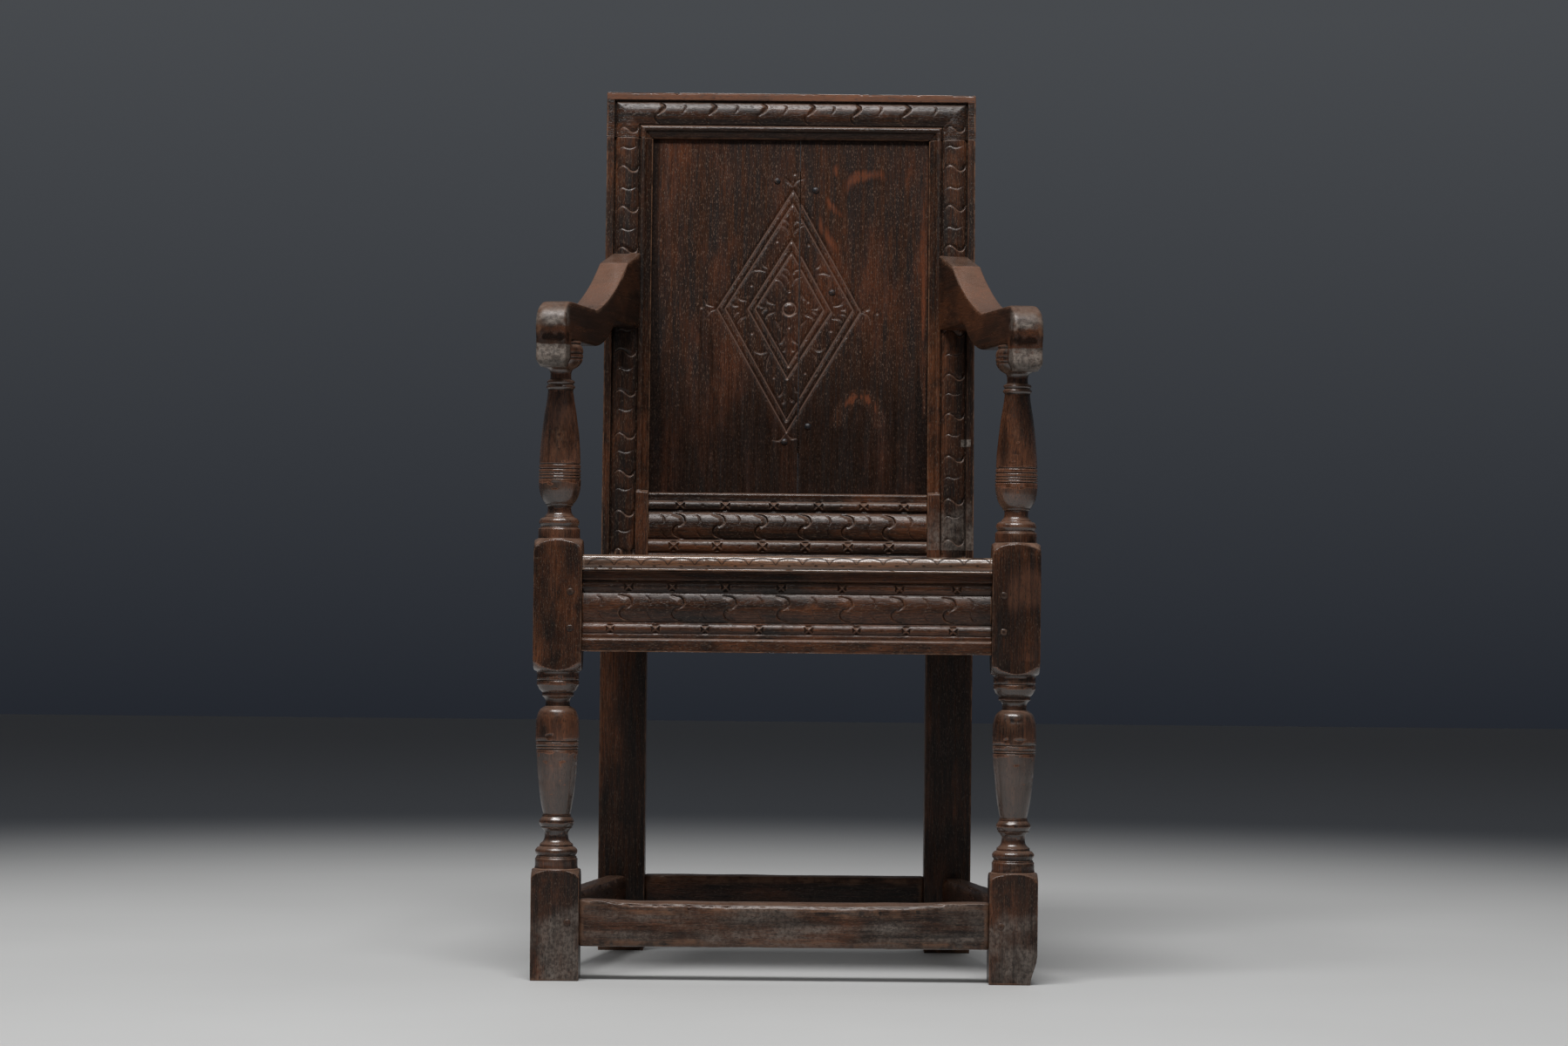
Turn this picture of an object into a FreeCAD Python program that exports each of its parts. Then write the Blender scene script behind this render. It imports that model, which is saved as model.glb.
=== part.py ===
import FreeCAD, Part

import os
import re

import Sketcher

# A joined oak armchair with a panelled back, all in millimetres.
# +Z is up, the sitter faces -Y, and left and right are as seen from the front.
# The origin is on the floor, under the middle of the whole chair.

SIZES = {
    # The frame as a whole
    "frame_width": 583,
    "back_width": 462,
    "frame_depth": 440,
    "seat_height": 490,
    "back_length": 578,
    "rake_run": 61,
    # Joints, pegs and their fits
    "joint_clearance": 0.2,
    "tenon_thickness": 9,
    "tenon_length": 26,
    "tenon_shoulder": 9,
    "tenon_root": 10,
    "peg_diameter": 9,
    "peg_length": 38,
    "side_peg_length": 32,
    "back_peg_length": 40,
    "peg_proud": 0.8,
    "peg_edge": 13.5,
    "peg_step": 12,
    # Front legs
    "leg_square": 56,
    "foot_block": 128,
    "seat_block_drop": 135.3,
    "seat_block_rise": 17.7,
    "arm_lift": 246,
    "arm_tenon_diameter": 22,
    "arm_tenon_length": 30,
    # Rear posts
    "post_width": 58,
    "post_depth": 48,
    "moulding_depth": 5,
    "crest_tenon_width": 36,
    "crest_tenon_thickness": 10,
    "crest_tenon_length": 32,
    # Seat rails
    "rail_height": 93.5,
    "side_rail_height": 90,
    "rail_thickness": 28,
    "rail_setback": 8,
    "upper_peg_drop": 24.5,
    "lower_peg_drop": 66.5,
    # Stretchers
    "stretcher_bottom": 38.5,
    "stretcher_height": 55,
    "stretcher_thickness": 28,
    "stretcher_peg_lift": 28.5,
    # Seat boards
    "seat_thickness": 18.5,
    "seat_seam": 236,
    "nosing_round": 7,
    "pin_diameter": 8,
    "pin_length": 46,
    "pin_edge": 53.5,
    # Back frame
    "crest_height": 56.5,
    "crest_peg_spread": 11,
    "crest_peg_lift": 16,
    "lower_rail_lift": 0.3,
    "lower_rail_height": 74,
    "lower_rail_thickness": 30,
    "back_peg_upper": 52,
    "back_peg_lower": 25,
    # Back panel, its cleats and its nails
    "panel_setback": 16,
    "panel_thickness": 12,
    "panel_groove": 8,
    "panel_seam": 12,
    "cleat_length": 236,
    "cleat_width": 44,
    "cleat_thickness": 14,
    "cleat_drop": 57.5,
    "cleat_lift": 75.7,
    "nail_diameter": 3.4,
    "nail_length": 25,
    "short_nail_length": 11,
    "nail_head_diameter": 10,
    "nail_point_diameter": 4,
    "nail_head_height": 2,
    # Arms
    "arm_overhang": 40,
    "arm_width": 36.5,
    "arm_thickness": 44,
    "arm_rear_inset": 2,
    "arm_housing": 6,
    "arm_flat_run": 132,
    "arm_rise": 69,
    "arm_crease_run": 327,
    "arm_end_rise": 24,
    "arm_belly_run": 128,
    "arm_step_run": 250,
    "arm_step_rise": 37,
    "arm_rear_tenon_height": 50,
    "arm_rear_tenon_lift": 300,
    "roll_radius": 30,
    "scroll_drop": 32,
    "arm_peg_diameter": 7,
    "arm_peg_length": 30,
    "arm_peg_lift": 15,
}

# Turned outlines, bottom to top. A row holds the height as a share of the turned length, the
# radius as a share of half the leg, and the bulge of the curve up to it as a share of its chord.
LOWER_TURNING_SHARES = (
    (-0.075, 2, 0),
    (0, 0.907, 0),
    (0.0485, 0.907, 0),
    (0.053, 0.857, 0),
    (0.062, 0.857, 0),
    (0.064, 0.8, 0),
    (0.107, 0.8, 0.26),
    (0.108, 0.69, 0),
    (0.1235, 0.69, 0),
    (0.168, 0.5, -0.2),
    (0.185, 0.507, 0),
    (0.206, 0.68, -0.1),
    (0.209, 0.64, 0),
    (0.2585, 0.64, 0.25),
    (0.26, 0.607, 0),
    (0.2715, 0.607, 0),
    (0.2735, 0.564, 0),
    (0.604, 0.9, 0.015),
    (0.648, 0.92, 0),
    (0.7234, 0.921, 0.01),
    (0.819, 0.607, 0.13),
    (0.821, 0.514, 0),
    (0.851, 0.514, 0),
    (0.874, 0.675, -0.05),
    (0.892, 0.675, 0),
    (0.929, 0.864, 0.12),
    (0.931, 0.889, 0),
    (1, 0.889, 0),
    (1.169, 2, 0),
)
UPPER_TURNING_SHARES = (
    (-0.16, 2, 0),
    (0, 0.875, 0),
    (0.05, 0.875, 0),
    (0.06, 0.76, 0),
    (0.104, 0.76, 0.2),
    (0.11, 0.625, 0),
    (0.135, 0.5, -0.1),
    (0.165, 0.5, 0),
    (0.17, 0.571, 0),
    (0.179, 0.571, 0),
    (0.26, 0.88, 0.1),
    (0.282, 0.89, 0.05),
    (0.376, 0.88, 0),
    (0.75, 0.525, 0.02),
    (0.757, 0.55, 0),
    (0.778, 0.55, 0.2),
    (0.781, 0.55, 0),
    (0.803, 0.55, 0.2),
    (0.805, 0.439, 0),
    (0.83, 0.439, 0),
    (0.858, 0.75, -0.1),
    (0.925, 0.93, 0.14),
    (0.93, 0.9, 0),
    (0.935, 0.93, 0),
    (1, 0.68, 0.2),
)

# Moulded faces. A row holds a place as a share of the face's width, the depth under the face
# as a share of the moulding's depth, and the bulge of the curve up to it as a share of its chord.
# A rail's rows run down from its top edge, and a stile's run in from its outer edge.
SEAT_RAIL_SHARES = (
    (0, 0, 0),
    (0.11, 0, 0),
    (0.12, 0.6, 0),
    (0.135, 0.8, 0),
    (0.25, 0.8, 0.2),
    (0.27, 1, 0),
    (0.29, 0.8, 0),
    (0.61, 0.8, 0.13),
    (0.63, 1, 0),
    (0.66, 0.9, 0),
    (0.77, 0.9, 0.2),
    (0.79, 0.7, 0),
    (0.83, 0.7, 0),
    (0.85, 0.2, 0),
    (1, 0.2, 0),
)
LOWER_BACK_RAIL_SHARES = (
    (0, 1.3, 0),
    (0.08, 0.9, 0.25),
    (0.15, 0.9, 0),
    (0.165, 0.6, 0),
    (0.29, 0.6, 0.15),
    (0.3, 1, 0),
    (0.345, 1, 0),
    (0.36, 0.8, 0),
    (0.77, 0.8, 0.14),
    (0.78, 1, 0),
    (0.81, 1, 0),
    (0.825, 0.6, 0),
    (1, 0.6, 0.15),
)
BACK_FRAME_SHARES = (
    (0, 0, 0),
    (0.165, 0, 0),
    (0.17, 0.9, 0),
    (0.2, 0.9, 0),
    (0.21, 0.7, 0),
    (0.7, 0.7, 0.12),
    (0.705, 1, 0),
    (0.725, 1, 0),
    (0.73, 0.7, 0),
    (0.85, 0.7, 0.2),
    (0.86, 1, 0),
    (1, 2.1, 0),
)

# The hand scroll under the roll. A row holds the place behind the arm's front as a share of the
# roll's radius, the height as a share of the scroll's drop under the arm, and the curve's bulge.
SCROLL_SHARES = (
    (0.24, 0.05, 0.12),
    (0.1, 0.45, -0.2),
    (0.13, 0.75, 0.1),
    (0.4, 1, 0.15),
)

# Bulges of a quarter circle, of the arm's belly and of the hollow sweep on its top
QUARTER_SHARE = 0.2071
ARM_BELLY_SHARE = 0.06
ARM_SWEEP_SHARE = -0.04

# Places that several pieces share, as expressions on the sizes
LEG_ACROSS = "((frame_width - leg_square) / 2)"
ARM_REAR_ACROSS = "(back_width / 2 - arm_rear_inset - arm_width / 2)"
ARM_SPAN = "(frame_depth - post_depth - leg_square / 2)"
ARM_SPLAY = f"atan(({LEG_ACROSS} - {ARM_REAR_ACROSS}) / {ARM_SPAN})"
ARM_CORNER = f"((leg_square / 2 + arm_overhang) * cos({ARM_SPLAY}) + arm_width / 2 * sin({ARM_SPLAY}))"
FRONT = f"(({ARM_CORNER} - leg_square / 2 - frame_depth - rake_run) / 2)"
BACK = f"({FRONT} + frame_depth)"
LEG_DEEP = f"({FRONT} + leg_square / 2)"
LEG_INNER = "(frame_width / 2 - leg_square)"
LEG_REAR = f"({FRONT} + leg_square)"
POST_ACROSS = "((back_width - post_width) / 2)"
POST_INNER = "(back_width / 2 - post_width)"
POST_FRONT = f"({BACK} - post_depth)"
POST_MIDDLE = f"({BACK} - post_depth / 2)"
LEAN = "asin(rake_run / back_length)"
LEAN_SIN = "(rake_run / back_length)"
LEAN_COS = f"cos({LEAN})"
RAIL_TOP = "(seat_height - seat_thickness)"
RAIL_BOTTOM = f"({RAIL_TOP} - rail_height)"
SIDE_RAIL_BOTTOM = f"({RAIL_TOP} - side_rail_height)"
STRETCHER_TOP = "(stretcher_bottom + stretcher_height)"
FRONT_RAIL_MIDDLE = f"({FRONT} + rail_setback + rail_thickness / 2)"
FRONT_STRETCHER_MIDDLE = f"({FRONT} + rail_setback + stretcher_thickness / 2)"
SIDE_FRONT_ACROSS = "(frame_width / 2 - rail_setback - rail_thickness / 2)"
SIDE_REAR_ACROSS = "(back_width / 2 - rail_setback - rail_thickness / 2)"
STILE_TOP = "(back_length - crest_height)"
LOWER_RAIL_TOP = "(lower_rail_lift + lower_rail_height)"
PANEL_FRONT = "(panel_setback - post_depth)"
PANEL_BACK = f"({PANEL_FRONT} + panel_thickness)"
PANEL_SIDE = f"({POST_INNER} + panel_groove - joint_clearance)"
PANEL_LOW = f"({LOWER_RAIL_TOP} - panel_groove + joint_clearance)"
PANEL_HIGH = f"({STILE_TOP} + panel_groove - joint_clearance)"
SEAT_BLOCK_LOW = "(seat_height - seat_block_drop)"
SEAT_BLOCK_HIGH = "(seat_height + seat_block_rise)"
TURNING_TOP = "(seat_height + arm_lift)"
UPPER_PEG_UP = f"({RAIL_TOP} - upper_peg_drop)"
LOWER_PEG_UP = f"({RAIL_TOP} - lower_peg_drop)"
STRETCHER_PEG_UP = "(stretcher_bottom + stretcher_peg_lift)"
PIN_ACROSS = f"({LEG_INNER} - pin_edge)"
UPPER_CLEAT_UP = f"({STILE_TOP} - cleat_drop)"
LOWER_CLEAT_UP = f"({LOWER_RAIL_TOP} + cleat_lift)"
PANEL_MIDDLE_UP = f"(({STILE_TOP} + {LOWER_RAIL_TOP}) / 2)"

# The panel's nails: how far each is to the right of the seam, what it is driven level with, how
# far above that it is, and its length
NAILS = {
    "top_left_nail": (-29, UPPER_CLEAT_UP, 6, "nail_length"),
    "top_right_nail": (19.5, UPPER_CLEAT_UP, -5.5, "nail_length"),
    "middle_nail": (41, PANEL_MIDDLE_UP, 31.1, "short_nail_length"),
    "bottom_right_nail": (12, LOWER_CLEAT_UP, 9.5, "nail_length"),
    "bottom_left_nail": (-17, LOWER_CLEAT_UP, -10, "nail_length"),
}
for nail, (seam_gap, _, level_gap, _) in NAILS.items():
    SIZES[f"{nail}_seam_gap"] = seam_gap
    SIZES[f"{nail}_level_gap"] = level_gap

# Which way a rod points: the axis that it is turned about, its turn, and what the lean adds
FACINGS = {
    "right": (FreeCAD.Vector(0, 1, 0), "90 deg", ""),
    "back": (FreeCAD.Vector(-1, 0, 0), "90 deg", f" + {LEAN}"),
    "front": (FreeCAD.Vector(1, 0, 0), "90 deg", f" - {LEAN}"),
}

SIZE_WORD = re.compile(r"[a-z][a-z_]+")

doc = FreeCAD.newDocument("Armchair")
sheet = doc.addObject("Spreadsheet::Sheet", "Sizes")
for row, (size_name, size) in enumerate(SIZES.items(), start=1):
    sheet.set(f"A{row}", size_name)
    sheet.set(f"B{row}", str(size))
    sheet.setAlias(f"B{row}", size_name)
doc.recompute()


def tied(text):
    """An expression with each size pointed at its cell in the sheet."""
    return SIZE_WORD.sub(lambda word: f"Sizes.{word[0]}" if word[0] in SIZES else word[0], text)


def worth(text):
    """What an expression on the sizes comes to."""
    value = sheet.evalExpression(tied(text))
    return float(getattr(value, "Value", value))


def bind(thing, texts):
    """Ties an object's properties to expressions on the sizes."""
    for path, text in texts.items():
        thing.setExpression(path, tied(text))


def turn(thing, axis, angle):
    """Turns a thing about an axis by an angle worked out from the sizes."""
    thing.Placement = FreeCAD.Placement(thing.Placement.Base, FreeCAD.Rotation(axis, 1))
    bind(thing, {"Placement.Rotation.Angle": angle})


def put(thing, across, deep, up, leaning=False):
    """Ties a thing's place. A leaning one is placed in the raked back's own frame, whose
    origin is on the posts' back faces at the seat and whose height runs along the stiles."""
    raked_deep = f"{BACK} + ({deep}) * {LEAN_COS} + ({up}) * {LEAN_SIN}"
    raked_up = f"seat_height - ({deep}) * {LEAN_SIN} + ({up}) * {LEAN_COS}"
    bind(
        thing,
        {
            "Placement.Base.x": across,
            "Placement.Base.y": raked_deep if leaning else deep,
            "Placement.Base.z": raked_up if leaning else up,
        },
    )


def lean(thing):
    """Tips a thing back with the raked posts."""
    turn(thing, FreeCAD.Vector(-1, 0, 0), LEAN)


def outline(body, name, role, points):
    """A closed sketch through points, fully tied to the sizes. A point is its two places and,
    where an arc leads up to it, the arc's bulge to the right of travel as a share of its chord."""
    sketch = body.newObject("Sketcher::SketchObject", f"{body.Name}_{name}")
    plane = next(plane for plane in body.Origin.OriginFeatures if plane.Role == role)
    sketch.AttachmentSupport = (plane, "")
    sketch.MapMode = "FlatFace"
    corners = [FreeCAD.Vector(worth(point[0]), worth(point[1]), 0) for point in points]
    bulges = [point[2] if len(point) > 2 else 0 for point in points]
    edges = []
    for index, bulge in enumerate(bulges):
        start, end = corners[index - 1], corners[index]
        chord = end - start
        middle = (start + end) / 2 + FreeCAD.Vector(chord.y, -chord.x, 0) * bulge
        edges.append(Part.Arc(start, middle, end) if bulge else Part.LineSegment(start, end))
    sketch.addGeometry(edges, False)
    # An arc that runs clockwise is kept the other way round, so its last point is its first here
    last = []
    for index, corner in enumerate(corners):
        gaps = [(sketch.getPoint(index, which) - corner).Length for which in (1, 2)]
        last.append(1 if gaps[0] < gaps[1] else 2)
    rules = []
    texts = []
    for index in range(len(points)):
        after = (index + 1) % len(points)
        rules.append(Sketcher.Constraint("Coincident", index, last[index], after, 3 - last[after]))
        texts.append("")
    for index, (point, corner) in enumerate(zip(points, corners)):
        rules.append(Sketcher.Constraint("DistanceX", -1, 1, index, last[index], corner.x))
        rules.append(Sketcher.Constraint("DistanceY", -1, 1, index, last[index], corner.y))
        texts.extend(point[:2])
        if bulges[index]:
            run = f"(({point[0]}) - ({points[index - 1][0]}))"
            rise = f"(({point[1]}) - ({points[index - 1][1]}))"
            radius_share = (1 / 4 + bulges[index] ** 2) / (2 * abs(bulges[index]))
            texts.append(f"sqrt({run} ^ 2 + {rise} ^ 2) * {radius_share}")
            rules.append(Sketcher.Constraint("Radius", index, worth(texts[-1])))
    sketch.addConstraint(rules)
    bind(sketch, {f"Constraints[{index}]": text for index, text in enumerate(texts) if text})
    return sketch


def pad(body, sketch, length, sides="One side"):
    """Pads a sketch along its plane's normal, or to both sides alike."""
    feature = body.newObject("PartDesign::Pad", f"{sketch.Name}_pad")
    feature.Profile = sketch
    feature.SideType = sides
    bind(feature, {"Length": length})


def rectangle(low_across, low_up, high_across, high_up):
    """The corners of a rectangle."""
    return (
        (low_across, low_up),
        (high_across, low_up),
        (high_across, high_up),
        (low_across, high_up),
    )


def block(name, low, high, leaning=False, grow="0"):
    """A block between two corners, grown alike on every side."""
    box = doc.addObject("Part::Box", name)
    sides = [f"({top}) - ({bottom}) + 2 * {grow}" for bottom, top in zip(low, high)]
    bind(box, dict(zip(("Length", "Width", "Height"), sides)))
    if leaning:
        lean(box)
    put(box, *(f"({place}) - {grow}" for place in low), leaning)
    return box


def joint(name, low, high, leaning=False):
    """A tenon and the mortise that it enters, larger by the clearance."""
    return (
        block(f"{name}_tenon", low, high, leaning),
        block(f"{name}_mortise", low, high, leaning, "joint_clearance"),
    )


def rod(name, start, facing, length, diameter, grow="0", leaning=False):
    """A round rod from a start point, facing up, right, back or front."""
    cylinder = doc.addObject("Part::Cylinder", name)
    bind(cylinder, {"Radius": f"{diameter} / 2 + {grow}", "Height": f"{length} + 2 * {grow}"})
    if facing in FACINGS:
        axis, angle, tip = FACINGS[facing]
        turn(cylinder, axis, angle + (tip if leaning else ""))
    across, deep, up = start
    places = {
        "up": (across, deep, f"{up} - {grow}"),
        "right": (f"{across} - {grow}", deep, up),
        "back": (across, f"{deep} - {grow}", up),
        "front": (across, f"{deep} + {grow}", up),
    }
    put(cylinder, *places[facing], leaning)
    return cylinder


def peg(name, start, facing, length="peg_length", diameter="peg_diameter", leaning=False):
    """A peg and the hole that it fills."""
    return (
        rod(name, start, facing, length, diameter, leaning=leaning),
        rod(f"{name}_hole", start, facing, length, diameter, "joint_clearance", leaning),
    )


def pegs_of(pairs):
    """The pegs, without their holes."""
    return [piece for piece, _ in pairs]


def holes_of(pairs):
    """The holes, without their pegs."""
    return [hole for _, hole in pairs]


def mirrored(thing, name):
    """The right-hand twin of a left-hand thing."""
    twin = doc.addObject("Part::Mirroring", name)
    twin.Source = thing
    twin.Normal = FreeCAD.Vector(1, 0, 0)
    return twin


def both(things):
    """Left-hand things and their right-hand twins."""
    return [*things, *(mirrored(thing, f"{thing.Name}_twin") for thing in things)]


def joined(name, things):
    """Several solids fused into one."""
    fusion = doc.addObject("Part::MultiFuse", name)
    fusion.Shapes = things
    return fusion


def pierced(name, base, tools):
    """A piece with holes, mortises and grooves cut out of it."""
    cut = doc.addObject("Part::Cut", name)
    cut.Base = base
    cut.Tool = joined(f"{name}_cuts", tools) if len(tools) > 1 else tools[0]
    return cut


def group(name, things):
    """Separate solids that share one node."""
    compound = doc.addObject("Part::Compound", name)
    compound.Links = things
    return compound


def moulded(shares, width):
    """A moulded face's points: the place along the face, the depth under it and the bulge."""
    return [(f"{width} * {place}", f"moulding_depth * {depth}", bulge) for place, depth, bulge in shares]


def turned(body, name, shares, low, high, ending=()):
    """Turns a length of a square billet down to its outline, out past the corners at its ends."""
    points = [
        (f"leg_square / 2 * {radius}", f"{low} + ({high} - {low}) * {height}", bulge)
        for height, radius, bulge in shares
    ]
    sketch = outline(body, name, "XZ_Plane", points + list(ending))
    groove = body.newObject("PartDesign::Groove", f"{sketch.Name}_groove")
    groove.Profile = sketch
    groove.ReferenceAxis = (sketch, ["V_Axis"])
    groove.Angle = 360


def cross_joint(name, inner, middle, bottom, top):
    """The left-hand joint of a rail that runs across the chair."""
    return joint(
        name,
        (f"-{inner} - tenon_length", f"{middle} - tenon_thickness / 2", f"{bottom} + tenon_shoulder"),
        (f"-{inner} + tenon_root", f"{middle} + tenon_thickness / 2", f"{top} - tenon_shoulder"),
    )


def side_joint(name, across, low_deep, high_deep, bottom, top):
    """A joint of a left-hand rail that runs from the front leg to the rear post."""
    return joint(
        name,
        (f"-{across} - tenon_thickness / 2", low_deep, f"{bottom} + tenon_shoulder"),
        (f"-{across} + tenon_thickness / 2", high_deep, f"{top} - tenon_shoulder"),
    )


# The left-hand joints of the seat frame and of the stretchers
front_rail_tenon, front_rail_mortise = cross_joint(
    "front_rail", LEG_INNER, FRONT_RAIL_MIDDLE, RAIL_BOTTOM, RAIL_TOP
)
front_stretcher_tenon, front_stretcher_mortise = cross_joint(
    "front_stretcher", LEG_INNER, FRONT_STRETCHER_MIDDLE, "stretcher_bottom", STRETCHER_TOP
)
rear_rail_tenon, rear_rail_mortise = cross_joint(
    "rear_rail", POST_INNER, POST_MIDDLE, SIDE_RAIL_BOTTOM, RAIL_TOP
)
rear_stretcher_tenon, rear_stretcher_mortise = cross_joint(
    "rear_stretcher", POST_INNER, POST_MIDDLE, "stretcher_bottom", STRETCHER_TOP
)
SIDE_LEVELS = {
    "side_seat_rail": (SIDE_RAIL_BOTTOM, RAIL_TOP),
    "side_stretcher": ("stretcher_bottom", STRETCHER_TOP),
}
side_tenons = {}
side_front_mortises = []
side_rear_mortises = []
for level, (level_bottom, level_top) in SIDE_LEVELS.items():
    front_tenon, front_mortise = side_joint(
        f"{level}_front",
        SIDE_FRONT_ACROSS,
        f"{LEG_REAR} - tenon_length",
        f"{LEG_REAR} + tenon_root",
        level_bottom,
        level_top,
    )
    rear_tenon, rear_mortise = side_joint(
        f"{level}_rear",
        SIDE_REAR_ACROSS,
        f"{POST_FRONT} - tenon_root",
        f"{POST_FRONT} + tenon_length",
        level_bottom,
        level_top,
    )
    side_tenons[level] = [front_tenon, rear_tenon]
    side_front_mortises.append(front_mortise)
    side_rear_mortises.append(rear_mortise)

# The joints of the raked back: the lower rail's, the arm's, and the stile's tenon into the crest
lower_rail_middle = "(lower_rail_thickness / 2 - post_depth)"
lower_rail_tenon, lower_rail_mortise = joint(
    "lower_rail",
    (
        f"-{POST_INNER} - tenon_length",
        f"{lower_rail_middle} - tenon_thickness / 2",
        "lower_rail_lift + tenon_shoulder",
    ),
    (
        f"-{POST_INNER} + tenon_root",
        f"{lower_rail_middle} + tenon_thickness / 2",
        f"{PANEL_LOW} - joint_clearance - tenon_shoulder / 2",
    ),
    leaning=True,
)
arm_tenon, arm_mortise = joint(
    "arm_rear",
    (
        f"-{ARM_REAR_ACROSS} - tenon_thickness / 2",
        "arm_housing - post_depth - tenon_root",
        "arm_rear_tenon_lift",
    ),
    (
        f"-{ARM_REAR_ACROSS} + tenon_thickness / 2",
        "arm_housing - post_depth + tenon_length",
        "arm_rear_tenon_lift + arm_rear_tenon_height",
    ),
    leaning=True,
)
crest_tenon, crest_mortise = joint(
    "crest",
    (
        f"-{POST_ACROSS} - crest_tenon_width / 2",
        "-post_depth / 2 - crest_tenon_thickness / 2",
        f"{STILE_TOP} - tenon_root",
    ),
    (
        f"-{POST_ACROSS} + crest_tenon_width / 2",
        "-post_depth / 2 + crest_tenon_thickness / 2",
        f"{STILE_TOP} + crest_tenon_length",
    ),
    leaning=True,
)
panel_slot = block(
    "panel_slot",
    (f"-{PANEL_SIDE}", PANEL_FRONT, PANEL_LOW),
    (PANEL_SIDE, PANEL_BACK, PANEL_HIGH),
    leaning=True,
    grow="joint_clearance",
)

# The left-hand pegs, each with its hole
LEG_PEG_START = (f"-{LEG_INNER} - peg_edge", f"{FRONT} - peg_proud")
front_rail_pegs = [
    peg("front_rail_upper_peg", (*LEG_PEG_START, UPPER_PEG_UP), "back"),
    peg("front_rail_lower_peg", (*LEG_PEG_START, LOWER_PEG_UP), "back"),
]
front_stretcher_pegs = [
    peg("front_stretcher_peg", (*LEG_PEG_START, STRETCHER_PEG_UP), "back"),
]
POST_PEG_START = (f"-{POST_INNER} - peg_edge", f"{BACK} + peg_proud")
rear_rail_pegs = [
    peg("rear_rail_upper_peg", (*POST_PEG_START, UPPER_PEG_UP), "front"),
    peg("rear_rail_lower_peg", (*POST_PEG_START, LOWER_PEG_UP), "front"),
]
rear_stretcher_pegs = [
    peg("rear_stretcher_peg", (*POST_PEG_START, STRETCHER_PEG_UP), "front"),
]
side_front_pegs = {}
side_rear_pegs = {}
for level, peg_heights in (
    (
        "side_seat_rail",
        {"upper": f"{UPPER_PEG_UP} - peg_step", "lower": f"{LOWER_PEG_UP} - peg_step"},
    ),
    ("side_stretcher", {"middle": STRETCHER_PEG_UP}),
):
    side_front_pegs[level] = []
    side_rear_pegs[level] = []
    for peg_name, peg_up in peg_heights.items():
        front_start = ("-frame_width / 2 - peg_proud", f"{LEG_REAR} - peg_edge", peg_up)
        rear_start = ("-back_width / 2 - peg_proud", f"{POST_FRONT} + peg_edge", peg_up)
        side_front_pegs[level].append(
            peg(f"{level}_front_{peg_name}_peg", front_start, "right", "side_peg_length")
        )
        side_rear_pegs[level].append(
            peg(f"{level}_rear_{peg_name}_peg", rear_start, "right", "side_peg_length")
        )
leg_side_pegs = [pair for pairs in side_front_pegs.values() for pair in pairs]
post_side_pegs = [pair for pairs in side_rear_pegs.values() for pair in pairs]
lower_back_rail_pegs = [
    peg(
        f"lower_back_rail_{name}_peg",
        (f"-{POST_INNER} - peg_edge", "peg_proud", f"lower_rail_lift + back_peg_{name}"),
        "front",
        "back_peg_length",
        leaning=True,
    )
    for name in ("upper", "lower")
]
crest_pegs = [
    peg(
        f"crest_{name}_peg",
        (f"-{POST_ACROSS} {sign} crest_peg_spread", "peg_proud", f"{STILE_TOP} + crest_peg_lift"),
        "front",
        "back_peg_length",
        leaning=True,
    )
    for name, sign in (("outer", "-"), ("inner", "+"))
]
arm_front_peg = peg(
    "arm_front_peg",
    (f"-{LEG_ACROSS} - arm_width / 2 - peg_proud", LEG_DEEP, f"{TURNING_TOP} + arm_peg_lift"),
    "right",
    "arm_peg_length",
    "arm_peg_diameter",
)
arm_rear_peg = peg(
    "arm_rear_peg",
    (
        "-back_width / 2 - peg_proud",
        "arm_housing - post_depth + peg_edge",
        "arm_rear_tenon_lift + arm_rear_tenon_height / 2",
    ),
    "right",
    "side_peg_length",
    "arm_peg_diameter",
    leaning=True,
)
seat_pins = [
    peg(f"{name}_seat_pin", (across, deep, "seat_height + peg_proud / 2 - pin_length"), "up",
        "pin_length", "pin_diameter")
    for name, across, deep in (
        ("front_left", f"-{PIN_ACROSS}", FRONT_RAIL_MIDDLE),
        ("front_middle", "0", FRONT_RAIL_MIDDLE),
        ("front_right", PIN_ACROSS, FRONT_RAIL_MIDDLE),
        ("rear_left", f"-{PIN_ACROSS} / 2", POST_MIDDLE),
        ("rear_right", f"{PIN_ACROSS} / 2", POST_MIDDLE),
    )
]

# Front legs: square blocks with turned lengths between them, and a round tenon under the arm
leg_body = doc.addObject("PartDesign::Body", "front_leg_billet")
leg_section = outline(
    leg_body,
    "section",
    "XY_Plane",
    rectangle("-leg_square / 2", "-leg_square / 2", "leg_square / 2", "leg_square / 2"),
)
pad(leg_body, leg_section, f"{TURNING_TOP} + arm_tenon_length")
turned(leg_body, "lower", LOWER_TURNING_SHARES, "foot_block", SEAT_BLOCK_LOW)
turned(
    leg_body,
    "upper",
    UPPER_TURNING_SHARES,
    SEAT_BLOCK_HIGH,
    TURNING_TOP,
    (
        ("arm_tenon_diameter / 2", TURNING_TOP),
        ("arm_tenon_diameter / 2", f"{TURNING_TOP} + arm_tenon_length + tenon_root"),
        ("leg_square", f"{TURNING_TOP} + arm_tenon_length + tenon_root"),
    ),
)
put(leg_body, f"-{LEG_ACROSS}", LEG_DEEP, "0")
front_leg_left = pierced(
    "front_leg_left",
    leg_body,
    [front_rail_mortise, front_stretcher_mortise, *side_front_mortises]
    + holes_of([*front_rail_pegs, *front_stretcher_pegs, *leg_side_pegs, arm_front_peg]),
)
front_leg_right = mirrored(front_leg_left, "front_leg_right")

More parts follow.
